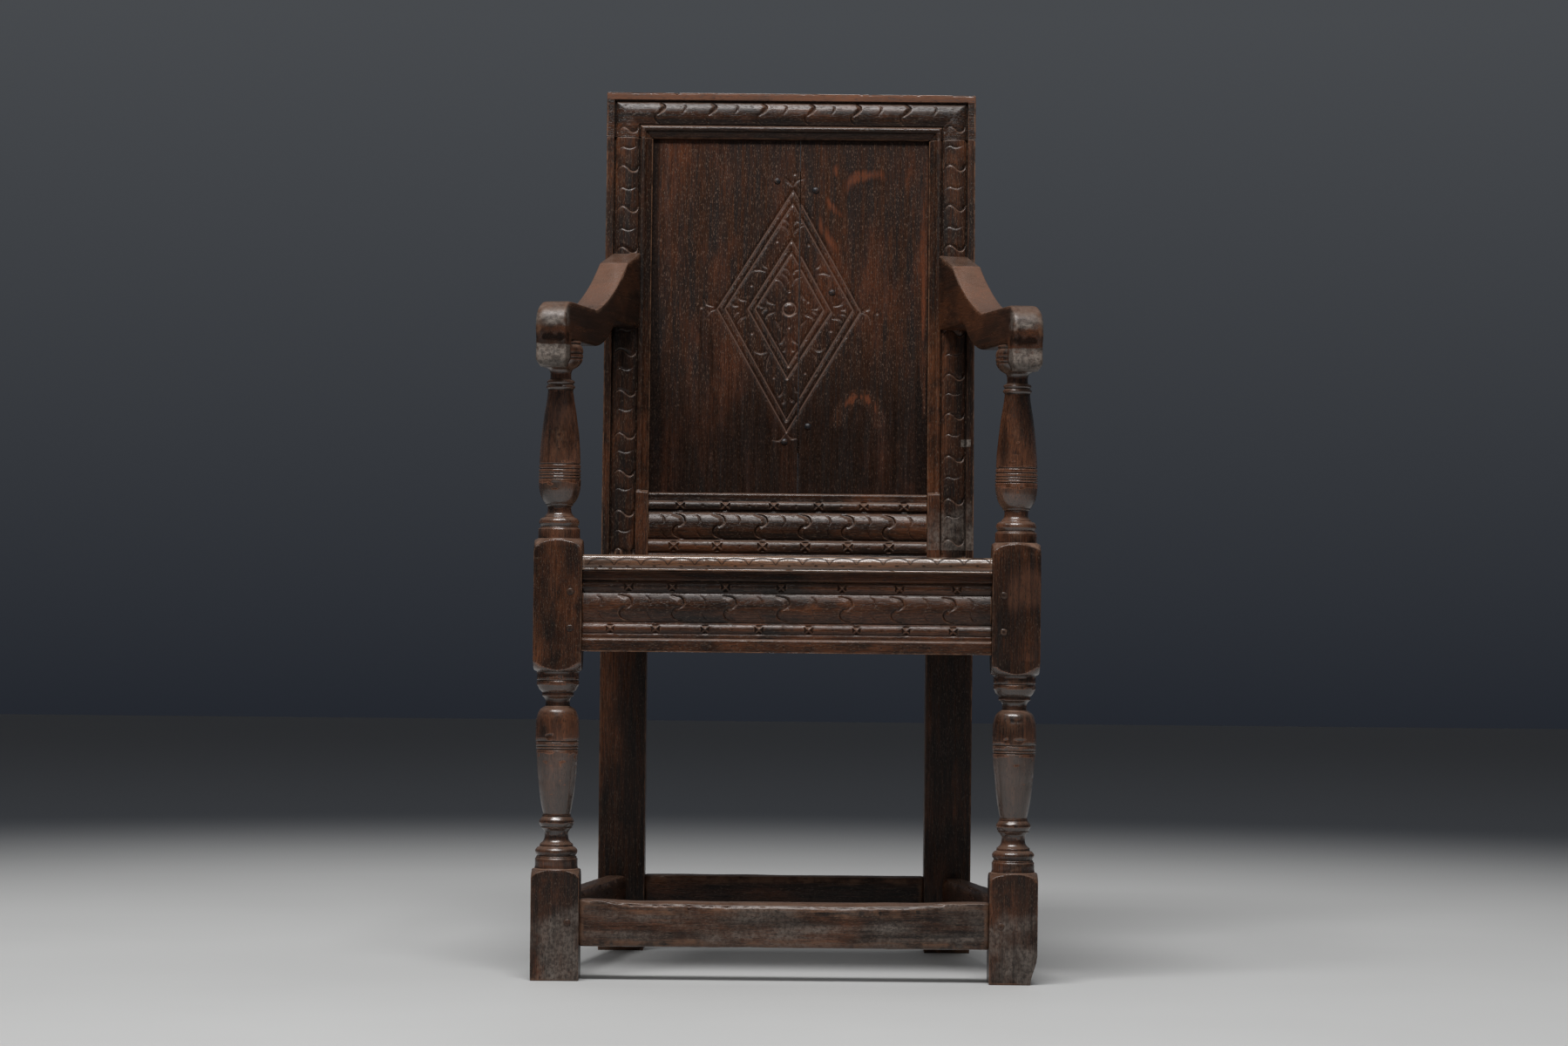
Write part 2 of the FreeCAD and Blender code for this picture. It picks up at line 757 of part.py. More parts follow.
# Arms: sawn from a plank, rolled over in front of the leg and swept up to the post. The outline
# starts behind the scroll's lip and runs back along the underside and forward along the top.
arm_body = doc.addObject("PartDesign::Body", "arm_plank")
arm_front = "(-leg_square / 2 - arm_overhang)"
arm_top = f"({TURNING_TOP} + arm_thickness)"
arm_end = f"({ARM_SPAN} + post_depth + rake_run)"
arm_end_slope = "(arm_end_rise / (frame_depth - arm_crease_run))"
arm_end_top = f"{arm_top} + arm_rise + {arm_end_slope} * ({arm_end} - arm_crease_run)"
lip_back = "(-leg_square / 2 - joint_clearance)"
arm_points = [
    (lip_back, f"{TURNING_TOP} - scroll_drop"),
    (lip_back, TURNING_TOP),
    ("arm_belly_run", TURNING_TOP),
    ("arm_step_run", f"{TURNING_TOP} + arm_step_rise", ARM_BELLY_SHARE),
    (arm_end, f"{TURNING_TOP} + arm_step_rise"),
    (arm_end, arm_end_top),
    ("arm_crease_run", f"{arm_top} + arm_rise"),
    ("arm_flat_run", arm_top, ARM_SWEEP_SHARE),
    (f"{arm_front} + roll_radius", arm_top),
    (arm_front, f"{arm_top} - roll_radius", QUARTER_SHARE),
]
for back_share, drop_share, bulge_share in SCROLL_SHARES:
    arm_points.append(
        (
            f"{arm_front} + roll_radius * {back_share}",
            f"{TURNING_TOP} - scroll_drop * {drop_share}",
            bulge_share,
        )
    )
pad(arm_body, outline(arm_body, "side", "YZ_Plane", arm_points), "arm_width", "Symmetric")
turn(arm_body, FreeCAD.Vector(0, 0, -1), ARM_SPLAY)
put(arm_body, f"-{LEG_ACROSS}", LEG_DEEP, "0")
beyond_post = block(
    "beyond_post",
    ("-frame_width", "arm_housing - post_depth", "-back_length"),
    ("0", "arm_housing + frame_depth", "2 * back_length"),
    leaning=True,
)
arm_shouldered = pierced("arm_shouldered", arm_body, [beyond_post])
arm_socket = rod(
    "arm_socket",
    (f"-{LEG_ACROSS}", LEG_DEEP, TURNING_TOP),
    "up",
    "arm_tenon_length",
    "arm_tenon_diameter",
    "joint_clearance",
)
arm_left = pierced(
    "arm_left",
    joined("arm_tenoned", [arm_shouldered, arm_tenon]),
    [arm_socket, *holes_of([arm_front_peg, arm_rear_peg])],
)
arm_right = mirrored(arm_left, "arm_right")

# Rear posts: upright to the seat and raked above it, with a moulded face above the seat. They
# are drawn in the raked back's frame, where it is the foot that slants. The arm is let in.
post_body = doc.addObject("PartDesign::Body", "rear_post_blank")
foot_deep = f"seat_height * {LEAN_SIN}"
foot_up = f"-seat_height * {LEAN_COS}"
post_side = outline(
    post_body,
    "side",
    "YZ_Plane",
    (
        (f"{foot_deep} - post_depth * {LEAN_COS}", f"{foot_up} - post_depth * {LEAN_SIN}"),
        (foot_deep, foot_up),
        ("0", "0"),
        ("0", STILE_TOP),
        ("-post_depth", STILE_TOP),
        ("-post_depth", f"-post_depth * tan({LEAN} / 2)"),
    ),
)
pad(post_body, post_side, "post_width", "Symmetric")
stile_waste = outline(
    post_body,
    "moulding",
    "XY_Plane",
    [
        ("-post_width / 2", "-post_depth - moulding_depth"),
        *(
            (f"{place} - post_width / 2", f"{depth} - post_depth", bulge)
            for place, depth, bulge in moulded(BACK_FRAME_SHARES, "post_width")
        ),
        ("post_width / 2", "-post_depth - moulding_depth"),
    ],
)
stile_moulding = post_body.newObject("PartDesign::Pocket", "stile_moulding")
stile_moulding.Profile = stile_waste
stile_moulding.Reversed = True
bind(stile_moulding, {"Length": "back_length"})
lean(post_body)
put(post_body, f"-{POST_ACROSS}", "0", "0", leaning=True)
rear_post_left = pierced(
    "rear_post_left",
    joined("rear_post_tenoned", [post_body, crest_tenon]),
    [rear_rail_mortise, rear_stretcher_mortise, *side_rear_mortises]
    + [lower_rail_mortise, arm_mortise, arm_shouldered, panel_slot]
    + holes_of([*rear_rail_pegs, *rear_stretcher_pegs, *post_side_pegs])
    + holes_of([*lower_back_rail_pegs, *crest_pegs, arm_rear_peg]),
)
rear_post_right = mirrored(rear_post_left, "rear_post_right")


# Rails and stretchers


def cross_rail(name, section, length, place, tenon, cuts, leaning=False):
    """A rail padded from its section to both sides, with a tenon on each end."""
    body = doc.addObject("PartDesign::Body", f"{name}_blank")
    pad(body, outline(body, "section", "YZ_Plane", section), length, "Symmetric")
    if leaning:
        lean(body)
    put(body, *place, leaning)
    return pierced(name, joined(f"{name}_tenoned", [body, *both([tenon])]), cuts)


def moulded_section(shares, height, thickness):
    """A rail's section: its plain back, and its moulded front from the top down."""
    face = [(depth, f"{height} - {place}", bulge) for place, depth, bulge in moulded(shares, height)]
    return [(thickness, "0"), (thickness, height), *face]


def plain_section(height, thickness):
    """A plain rail's section, about its middle."""
    return rectangle(f"-{thickness} / 2", "0", f"{thickness} / 2", height)


front_seat_rail = cross_rail(
    "front_seat_rail",
    moulded_section(SEAT_RAIL_SHARES, "rail_height", "rail_thickness"),
    f"2 * {LEG_INNER}",
    ("0", f"{FRONT} + rail_setback", RAIL_BOTTOM),
    front_rail_tenon,
    both(holes_of(front_rail_pegs)) + holes_of(seat_pins[:3]),
)
rear_seat_rail = cross_rail(
    "rear_seat_rail",
    plain_section("side_rail_height", "rail_thickness"),
    f"2 * {POST_INNER}",
    ("0", POST_MIDDLE, SIDE_RAIL_BOTTOM),
    rear_rail_tenon,
    both(holes_of(rear_rail_pegs)) + holes_of(seat_pins[3:]),
)
front_stretcher = cross_rail(
    "front_stretcher",
    plain_section("stretcher_height", "stretcher_thickness"),
    f"2 * {LEG_INNER}",
    ("0", FRONT_STRETCHER_MIDDLE, "stretcher_bottom"),
    front_stretcher_tenon,
    both(holes_of(front_stretcher_pegs)),
)
rear_stretcher = cross_rail(
    "rear_stretcher",
    plain_section("stretcher_height", "stretcher_thickness"),
    f"2 * {POST_INNER}",
    ("0", POST_MIDDLE, "stretcher_bottom"),
    rear_stretcher_tenon,
    both(holes_of(rear_stretcher_pegs)),
)
lower_back_rail = cross_rail(
    "lower_back_rail",
    moulded_section(LOWER_BACK_RAIL_SHARES, "lower_rail_height", "lower_rail_thickness"),
    f"2 * {POST_INNER}",
    ("0", "-post_depth", "lower_rail_lift"),
    lower_rail_tenon,
    [*both(holes_of(lower_back_rail_pegs)), panel_slot],
    leaning=True,
)

side_pieces = {}
for level, thickness, height in (
    ("side_seat_rail", "rail_thickness", "side_rail_height"),
    ("side_stretcher", "stretcher_thickness", "stretcher_height"),
):
    side_body = doc.addObject("PartDesign::Body", f"{level}_blank")
    plan = outline(
        side_body,
        "plan",
        "XY_Plane",
        (
            (f"-{SIDE_FRONT_ACROSS} - {thickness} / 2", LEG_REAR),
            (f"-{SIDE_FRONT_ACROSS} + {thickness} / 2", LEG_REAR),
            (f"-{SIDE_REAR_ACROSS} + {thickness} / 2", POST_FRONT),
            (f"-{SIDE_REAR_ACROSS} - {thickness} / 2", POST_FRONT),
        ),
    )
    pad(side_body, plan, height)
    put(side_body, "0", "0", SIDE_LEVELS[level][0])
    side_left = pierced(
        f"{level}_left",
        joined(f"{level}_tenoned", [side_body, *side_tenons[level]]),
        holes_of([*side_front_pegs[level], *side_rear_pegs[level]]),
    )
    mirrored(side_left, f"{level}_right")

# The crest rail sits on the stiles' tenons and takes the panel in its underside
crest_body = doc.addObject("PartDesign::Body", "crest_blank")
crest_face = [
    (f"{depth} - post_depth", f"back_length - {place}", bulge)
    for place, depth, bulge in moulded(BACK_FRAME_SHARES, "crest_height")
]
crest_section = [("0", STILE_TOP), ("0", "back_length"), *crest_face]
pad(crest_body, outline(crest_body, "section", "YZ_Plane", crest_section), "back_width", "Symmetric")
lean(crest_body)
put(crest_body, "0", "0", "0", leaning=True)
crest_rail = pierced(
    "crest_rail",
    crest_body,
    [*both([crest_mortise, *holes_of(crest_pegs)]), panel_slot],
)

# Seat boards: the front one notched round the legs, the rear one round the posts
seat_seam_deep = f"({FRONT} + seat_seam)"
seat_taper_share = "((seat_seam - leg_square) / (frame_depth - post_depth - leg_square))"
seat_seam_across = f"(frame_width / 2 - (frame_width - back_width) / 2 * {seat_taper_share})"
leg_notch = f"({LEG_INNER} - joint_clearance)"
leg_notch_deep = f"{LEG_REAR} + joint_clearance"
post_notch = f"({POST_INNER} - joint_clearance)"
post_notch_deep = f"{POST_FRONT} - joint_clearance"
FRONT_BOARD_PLAN = (
    (leg_notch, FRONT),
    (leg_notch, leg_notch_deep),
    ("frame_width / 2", leg_notch_deep),
    (seat_seam_across, f"{seat_seam_deep} - joint_clearance"),
)
REAR_BOARD_PLAN = (
    (seat_seam_across, f"{seat_seam_deep} + joint_clearance"),
    ("back_width / 2", post_notch_deep),
    (post_notch, post_notch_deep),
    (post_notch, BACK),
)


def seat_board(name, half_plan):
    """A board from the right half of its plan, which the left half repeats."""
    body = doc.addObject("PartDesign::Body", name)
    other_half = [(f"-{across}", deep) for across, deep in reversed(half_plan)]
    pad(body, outline(body, "plan", "XY_Plane", [*half_plan, *other_half]), "seat_thickness")
    put(body, "0", "0", RAIL_TOP)
    return body


nosing_body = doc.addObject("PartDesign::Body", "nosed_board")
nosing_points = (
    (f"{FRONT} + nosing_round", RAIL_TOP),
    (BACK, RAIL_TOP),
    (BACK, "seat_height"),
    (f"{FRONT} + nosing_round", "seat_height"),
    (FRONT, "seat_height - nosing_round", QUARTER_SHARE),
    (FRONT, f"{RAIL_TOP} + nosing_round"),
)
nosing_side = outline(
    nosing_body,
    "side",
    "YZ_Plane",
    ((*nosing_points[0], QUARTER_SHARE), *nosing_points[1:]),
)
pad(nosing_body, nosing_side, "frame_width", "Symmetric")
nosed = doc.addObject("Part::Common", "front_board_nosed")
nosed.Base = seat_board("front_board_blank", FRONT_BOARD_PLAN)
nosed.Tool = nosing_body
seat_board_front = pierced("seat_board_front", nosed, holes_of(seat_pins[:3]))
seat_board_rear = pierced(
    "seat_board_rear", seat_board("rear_board_blank", REAR_BOARD_PLAN), holes_of(seat_pins[3:])
)

# The back panel's two upright boards, the cleats across their backs, and the nails through both
nails = []
nail_holes = {}
for nail, (_, nail_level, _, shank_length) in NAILS.items():
    nail_start = (f"panel_seam + {nail}_seam_gap", PANEL_FRONT, f"{nail_level} + {nail}_level_gap")
    shank = rod(f"{nail}_shank", nail_start, "back", shank_length, "nail_diameter", leaning=True)
    nail_holes[nail] = rod(
        f"{nail}_hole", nail_start, "back", shank_length, "nail_diameter", "joint_clearance", True
    )
    head = doc.addObject("Part::Cone", f"{nail}_head")
    bind(
        head,
        {
            "Radius1": "nail_head_diameter / 2",
            "Radius2": "nail_point_diameter / 2",
            "Height": "nail_head_height",
        },
    )
    turn(head, FreeCAD.Vector(1, 0, 0), f"90 deg - {LEAN}")
    put(head, *nail_start, leaning=True)
    nails.append(joined(nail, [shank, head]))

back_panel_left = pierced(
    "back_panel_left",
    block(
        "left_board",
        (f"-{PANEL_SIDE}", PANEL_FRONT, PANEL_LOW),
        ("panel_seam - joint_clearance", PANEL_BACK, PANEL_HIGH),
        leaning=True,
    ),
    [nail_holes["top_left_nail"], nail_holes["bottom_left_nail"]],
)
back_panel_right = pierced(
    "back_panel_right",
    block(
        "right_board",
        ("panel_seam", PANEL_FRONT, PANEL_LOW),
        (PANEL_SIDE, PANEL_BACK, PANEL_HIGH),
        leaning=True,
    ),
    [nail_holes[nail] for nail in ("top_right_nail", "middle_nail", "bottom_right_nail")],
)
for cleat, cleat_height, cleat_nails in (
    ("upper_panel_cleat", UPPER_CLEAT_UP, ("top_left_nail", "top_right_nail")),
    ("lower_panel_cleat", LOWER_CLEAT_UP, ("bottom_left_nail", "bottom_right_nail")),
):
    batten = block(
        f"{cleat}_batten",
        ("panel_seam - cleat_length / 2", PANEL_BACK, f"{cleat_height} - cleat_width / 2"),
        (
            "panel_seam + cleat_length / 2",
            f"{PANEL_BACK} + cleat_thickness",
            f"{cleat_height} + cleat_width / 2",
        ),
        leaning=True,
    )
    pierced(cleat, batten, [nail_holes[nail] for nail in cleat_nails])

# Pegs and nails, grouped by the joints that they hold
group("front_frame_pegs", both(pegs_of(front_rail_pegs + front_stretcher_pegs)))
group("side_frame_pegs", both(pegs_of(leg_side_pegs + post_side_pegs)))
group("rear_frame_pegs", both(pegs_of(rear_rail_pegs + rear_stretcher_pegs)))
group("back_frame_pegs", both(pegs_of(lower_back_rail_pegs + crest_pegs)))
group("arm_pegs", both(pegs_of([arm_front_peg, arm_rear_peg])))
group("seat_board_pins", pegs_of(seat_pins))
group("panel_nails", nails)

NODES = (
    "front_leg_left",
    "front_leg_right",
    "rear_post_left",
    "rear_post_right",
    "crest_rail",
    "lower_back_rail",
    "back_panel_left",
    "back_panel_right",
    "upper_panel_cleat",
    "lower_panel_cleat",
    "panel_nails",
    "seat_board_front",
    "seat_board_rear",
    "seat_board_pins",
    "front_seat_rail",
    "rear_seat_rail",
    "side_seat_rail_left",
    "side_seat_rail_right",
    "front_stretcher",
    "rear_stretcher",
    "side_stretcher_left",
    "side_stretcher_right",
    "arm_left",
    "arm_right",
    "arm_pegs",
    "front_frame_pegs",
    "side_frame_pegs",
    "rear_frame_pegs",
    "back_frame_pegs",
)

doc.recompute()

# Every object must have come out sound before anything is written
for thing in doc.Objects:
    if "Invalid" in thing.State or "Error" in thing.State:
        raise RuntimeError(f"{thing.Name} failed: {thing.State} {thing.getStatusString()}")
for feature in doc.Objects:
    if feature.TypeId in ("PartDesign::Groove", "PartDesign::Pocket"):
        if feature.Shape.Volume >= feature.BaseFeature.Shape.Volume:
            raise RuntimeError(f"{feature.Name} cuts nothing")
    if feature.TypeId == "Part::Cut" and feature.Shape.Volume >= feature.Base.Shape.Volume:
        raise RuntimeError(f"{feature.Name} cuts nothing")
for node in NODES:
    shape = doc.getObject(node).Shape
    if shape.isNull() or not shape.isValid() or not shape.Solids:
        raise RuntimeError(f"{node} has no sound shape")

os.makedirs("parts", exist_ok=True)
for node in NODES:
    doc.getObject(node).Shape.exportStep(f"parts/{node}.step")
print(f"{len(NODES)} nodes written")
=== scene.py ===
import math
from functools import partial

import bpy
import numpy as np
from mathutils import Matrix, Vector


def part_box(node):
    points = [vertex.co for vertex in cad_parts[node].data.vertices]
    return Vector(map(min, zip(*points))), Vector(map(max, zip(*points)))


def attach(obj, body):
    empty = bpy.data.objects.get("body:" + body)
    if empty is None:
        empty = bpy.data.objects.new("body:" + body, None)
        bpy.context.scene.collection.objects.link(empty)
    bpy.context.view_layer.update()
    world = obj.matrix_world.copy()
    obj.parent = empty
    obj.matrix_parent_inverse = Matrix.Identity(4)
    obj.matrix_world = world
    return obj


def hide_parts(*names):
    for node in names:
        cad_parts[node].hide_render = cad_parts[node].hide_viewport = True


# A joined oak armchair with carved mouldings. Lengths are in millimetres until a mesh is made.
# +Z is up, the sitter faces -Y, and left and right are as seen from the front.

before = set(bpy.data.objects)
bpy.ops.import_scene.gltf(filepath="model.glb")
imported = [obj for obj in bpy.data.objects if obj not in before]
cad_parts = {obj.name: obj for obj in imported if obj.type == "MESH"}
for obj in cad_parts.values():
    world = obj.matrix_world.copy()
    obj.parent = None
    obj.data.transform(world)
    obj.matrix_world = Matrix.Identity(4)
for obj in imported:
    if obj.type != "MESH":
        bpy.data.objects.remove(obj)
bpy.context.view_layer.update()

MM = 0.001


def cad(node, end, axis):
    """One coordinate of a solid's box: end 0 is its lowest corner and end 1 its highest."""
    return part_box(node)[end][axis] / MM


# The frame's driving places and sizes, read from its solids
FRONT = cad("front_leg_left", 0, 1)
BACK = cad("seat_board_rear", 1, 1)
SEAT_TOP = cad("seat_board_front", 1, 2)
RAIL_TOP = cad("seat_board_front", 0, 2)
LEG_OUTER = cad("front_leg_right", 1, 0)
LEG_INNER = cad("front_leg_right", 0, 0)
LEG_TOP = cad("front_leg_right", 1, 2)
POST_OUTER = cad("rear_post_right", 1, 0)
POST_INNER = cad("rear_post_right", 0, 0)
SEAM_DEEP = cad("seat_board_front", 1, 1)
SEAM_ACROSS = cad("seat_board_rear", 1, 0)
RAIL_BOTTOM = cad("front_seat_rail", 0, 2)
SIDE_RAIL_BOTTOM = cad("rear_seat_rail", 0, 2)
STRETCHER_BOTTOM = cad("rear_stretcher", 0, 2)
STRETCHER_TOP = cad("rear_stretcher", 1, 2)
LEG_SQUARE = LEG_OUTER - LEG_INNER
LEG_ACROSS = (LEG_OUTER + LEG_INNER) / 2
LEG_DEEP = FRONT + LEG_SQUARE / 2
LEG_REAR = FRONT + LEG_SQUARE
POST_WIDTH = POST_OUTER - POST_INNER
POST_ACROSS = (POST_OUTER + POST_INNER) / 2

# Sizes that the solids share with this script
JOINT_CLEARANCE = 0.2
POST_DEPTH = 48
POST_FRONT = BACK - POST_DEPTH
POST_MIDDLE = BACK - POST_DEPTH / 2
BACK_LENGTH = 578
CREST_HEIGHT = 56.5
STILE_TOP = BACK_LENGTH - CREST_HEIGHT
RAKE = math.asin(61 / BACK_LENGTH)
MOULDING_DEPTH = 5
LOWER_RAIL_LOW = 0.3
LOWER_RAIL_HIGH = 74.3
LOWER_RAIL_THICKNESS = 30
PANEL_FRONT = -32
PANEL_BACK = -20
PANEL_GROOVE = 8
PANEL_SEAM = 12
RAIL_SETBACK = 8
RAIL_THICKNESS = 28
TURNING_TOP = 736
ARM_TOP = 780
ARM_WIDTH = 36.5
ARM_REAR_ACROSS = POST_OUTER - 2 - ARM_WIDTH / 2
ARM_SPLAY = math.atan((LEG_ACROSS - ARM_REAR_ACROSS) / (POST_FRONT - LEG_DEEP))
PEG_PROUD = 0.8
PEG_EDGE = 13.5
PEG_SIZE = 9

# The photograph's view, which also places the carving. At the front one pixel is a millimetre.
LENS = 98.05
IMAGE_WIDTH = 1799
IMAGE_HEIGHT = 1200
FOCAL_PIXELS = 4900
EYE = np.array([-4, FRONT - FOCAL_PIXELS, 488])
MIDDLE_PIXEL = 899.5
EYE_LINE_PIXEL = 640
ROLL = math.radians(0.55)


# Numbers and lines


def smooth(value, low, high):
    """Eases from 0 at low to 1 at high."""
    share = np.clip((value - low) / (high - low), 0, 1)
    return share * share * (3 - 2 * share)


def bump(value, middle, reach):
    """1 at the middle, easing to 0 at its reach on each side."""
    return 1 - smooth(np.abs(value - middle), 0, reach)


def spread(low, high, step):
    """Evenly spaced places from low to high, about a step apart."""
    return np.linspace(low, high, max(2, round(abs(high - low) / step) + 1))


CELL_PRIMES = (374761393, 668265263, 974711)


def lattice(cells, seed):
    """A steady random number from -1 to 1 for each whole-numbered cell."""
    mixed = sum(cells[..., axis] * prime for axis, prime in enumerate(CELL_PRIMES)) + seed * 7919
    mixed = mixed & 0xFFFFFFFF
    mixed = (mixed ^ (mixed >> 13)) * 1274126177 & 0xFFFFFFFF
    return ((mixed ^ (mixed >> 16)) & 0xFFFF) / 32767.5 - 1


def noise(points, size, seed):
    """Smooth noise from -1 to 1 whose lumps are about this size."""
    places = points / np.asarray(size, float)
    cells = np.floor(places).astype(np.int64)
    part = places - cells
    ease = part * part * (3 - 2 * part)
    total = 0
    for corner in np.ndindex(2, 2, 2):
        weights = np.where(np.array(corner, bool), ease, 1 - ease).prod(-1)
        total = total + lattice(cells + corner, seed) * weights
    return total


def trace(rows, step):
    """Points along an outline of (a, b, bulge) rows. A bulge is the sagitta of the arc up to its
    row, to the left of travel, as a share of the chord."""
    points = [np.array(rows[0][:2], float)]
    for start, end in zip(rows, rows[1:]):
        first, last = np.array(start[:2], float), np.array(end[:2], float)
        bulge = end[2] if len(end) > 2 else 0
        chord = last - first
        count = max(1, round(float(np.hypot(*chord)) * (1 + 2 * abs(bulge)) / step))
        share = np.arange(1, count + 1)[:, None] / count
        side = np.array([-chord[1], chord[0]])
        points.extend(first + chord * share + side * bulge * 4 * share * (1 - share))
    return np.array(points)


def through(points, count):
    """A smooth line through a few points."""
    points = np.array(points, float)
    padded = np.concatenate([[2 * points[0] - points[1]], points, [2 * points[-1] - points[-2]]])
    places = np.linspace(0, len(points) - 1, count)
    start = np.minimum(places.astype(int), len(points) - 2)
    part = (places - start)[:, None]
    before, first, last, after = (padded[start + shift] for shift in range(4))
    curve = (2 * before - 5 * first + 4 * last - after) * part**2
    curve += (3 * first - before - 3 * last + after) * part**3
    return first + ((last - before) * part + curve) / 2


def at_pixel(x, y, deep):
    """The place across and up, on the upright plane this deep, that is seen at a pixel."""
    reach = (deep - EYE[1]) / FOCAL_PIXELS
    right, up = (x - MIDDLE_PIXEL) * reach, (EYE_LINE_PIXEL - y) * reach
    across = EYE[0] + right * math.cos(ROLL) - up * math.sin(ROLL)
    return across, EYE[2] + right * math.sin(ROLL) + up * math.cos(ROLL)


def back_at_pixel(x, y, deep=-POST_DEPTH):
    """The place across and along the raked back that the photograph shows at a pixel."""
    along = 250
    for _ in range(4):
        world = raked(np.array([0.0, deep, along]))
        across, up = at_pixel(x, y, world[1])
        along += (up - world[2]) / math.cos(RAKE)
    return across, along


def pixels_of(points):
    """The photograph's pixels for places in space."""
    gap = points - EYE
    right = gap[..., 0] * math.cos(ROLL) + gap[..., 2] * math.sin(ROLL)
    up = gap[..., 2] * math.cos(ROLL) - gap[..., 0] * math.sin(ROLL)
    flat = np.stack([right, -up], -1) * (FOCAL_PIXELS / gap[..., 1:2])
    return flat + (MIDDLE_PIXEL, EYE_LINE_PIXEL)


def raked(grid):
    """From the raked back's own frame, whose origin is on the posts' backs at the seat."""
    across, deep, up = np.moveaxis(np.asarray(grid, float), -1, 0)
    cos, sin = math.cos(RAKE), math.sin(RAKE)
    return np.stack([across, BACK + deep * cos + up * sin, SEAT_TOP - deep * sin + up * cos], -1)


# Surfaces, each a grid of rings that close round a member


def extruded(along, section):
    """A ring of places deep and up, repeated at places along X."""
    grid = np.empty((len(along), len(section), 3))
    grid[..., 0] = along[:, None]
    grid[..., 1:] = section
    return grid


def on_rings(places, like):
    """A coordinate that stays the same all round each ring."""
    return np.tile(places[:, None], (1, like.shape[1]))


def outward(grid):
    """The outward direction at each point of a grid."""
    around = np.roll(grid, -1, 1) - np.roll(grid, 1, 1)
    along = np.gradient(grid, axis=0)
    cross = np.cross(around, along)
    return cross / (np.linalg.norm(cross, axis=-1, keepdims=True) + 1e-9)


def oriented(grid):
    """The grid, with its points running round so that its faces look outward."""
    towards = ((grid - grid.mean((0, 1))) * outward(grid)).sum()
    return grid if towards > 0 else grid[:, ::-1]


def proudness(grid, passes):
    """How far each point stands proud of the points around it."""
    soft = grid
    for _ in range(passes):
        padded = np.concatenate([soft[:1], soft, soft[-1:]])
        soft = (soft + np.roll(soft, 1, 1) + np.roll(soft, -1, 1) + padded[:-2] + padded[2:]) / 5
    return ((grid - soft) * outward(grid)).sum(-1)


def aged(grid, seed, sway, dent):
    """Old hand-worked wood: uneven faces, and arrises rubbed and chipped by use. All of it is taken
    off the wood, so that nothing stands outside the sawn piece."""
    edge = np.clip(proudness(grid, 4) / 0.22, 0, 1)
    wave = sway * (1 - noise(grid, 42, seed)) / 2
    rub = edge * dent * (0.75 + 0.5 * noise(grid, 17, seed + 1))
    chip = edge * dent * 2 * np.clip(noise(grid, 5.5, seed + 2) - 0.3, 0, 1)
    return grid - outward(grid) * (wave + rub + chip)[..., None]


def ended(grid):
    """Eases a grid's two end rings inward and adds a flat ring inside each, before the caps."""
    ease, inset = 0.8, 4
    rings = [grid]
    for end, at in ((0, 0), (-1, 1)):
        ring = grid[end]
        centre = ring.mean(0)
        arms = ring - centre
        reach = np.maximum(np.linalg.norm(arms, axis=-1, keepdims=True), 2 * inset)
        grid[end] = centre + arms * (1 - ease / reach)
        rings.insert(len(rings) * at, (centre + arms * (1 - (ease + inset) / reach))[None])
    return np.concatenate(rings)


def bevelled(low, high, radius, step):
    """Points round a rectangle in two coordinates whose corners are rounded."""
    corners = np.array([low, (high[0], low[1]), high, (low[0], high[1])], float)
    points = []
    for index, corner in enumerate(corners):
        before, after = corners[index - 1] - corner, corners[(index + 1) % 4] - corner
        length = np.linalg.norm(after)
        way = after / length
        start, end = before / np.linalg.norm(before) * radius, way * radius
        for turn in (0, 0.25, 0.5, 0.75, 1):
            angle = turn * math.pi / 2
            points.append(corner + start * (1 - math.sin(angle)) + end * (1 - math.cos(angle)))
        run = length - 2 * radius
        count = max(1, round(run / step))
        points.extend(corner + end + way * run * number / count for number in range(1, count))
    return np.array(points)


def faced(face, front, back, sides, backs):
    """Rings with a worked front: where each front point lies (rings by points), and the plain sides
    and back behind it. Gives the places along the face and the places deep."""
    rings = len(front)
    share = np.arange(1, sides) / sides
    behind = np.linspace(face[-1], face[0], backs)
    far = front[:, -1:] + (back - front[:, -1:]) * share
    near = back + (front[:, :1] - back) * share
    deep = np.concatenate([front, far, np.full((rings, backs), float(back)), near], 1)
    row = np.concatenate([face, np.full(sides - 1, face[-1]), behind, np.full(sides - 1, face[0])])
    return np.tile(row, (rings, 1)), deep


def nowhere(grid):
    """0 at each point of a grid."""
    return np.zeros(grid.shape[:2])


def linked(name, data):
    """A new object in the scene."""
    thing = bpy.data.objects.new(name, data)
    bpy.context.scene.collection.objects.link(thing)
    return thing


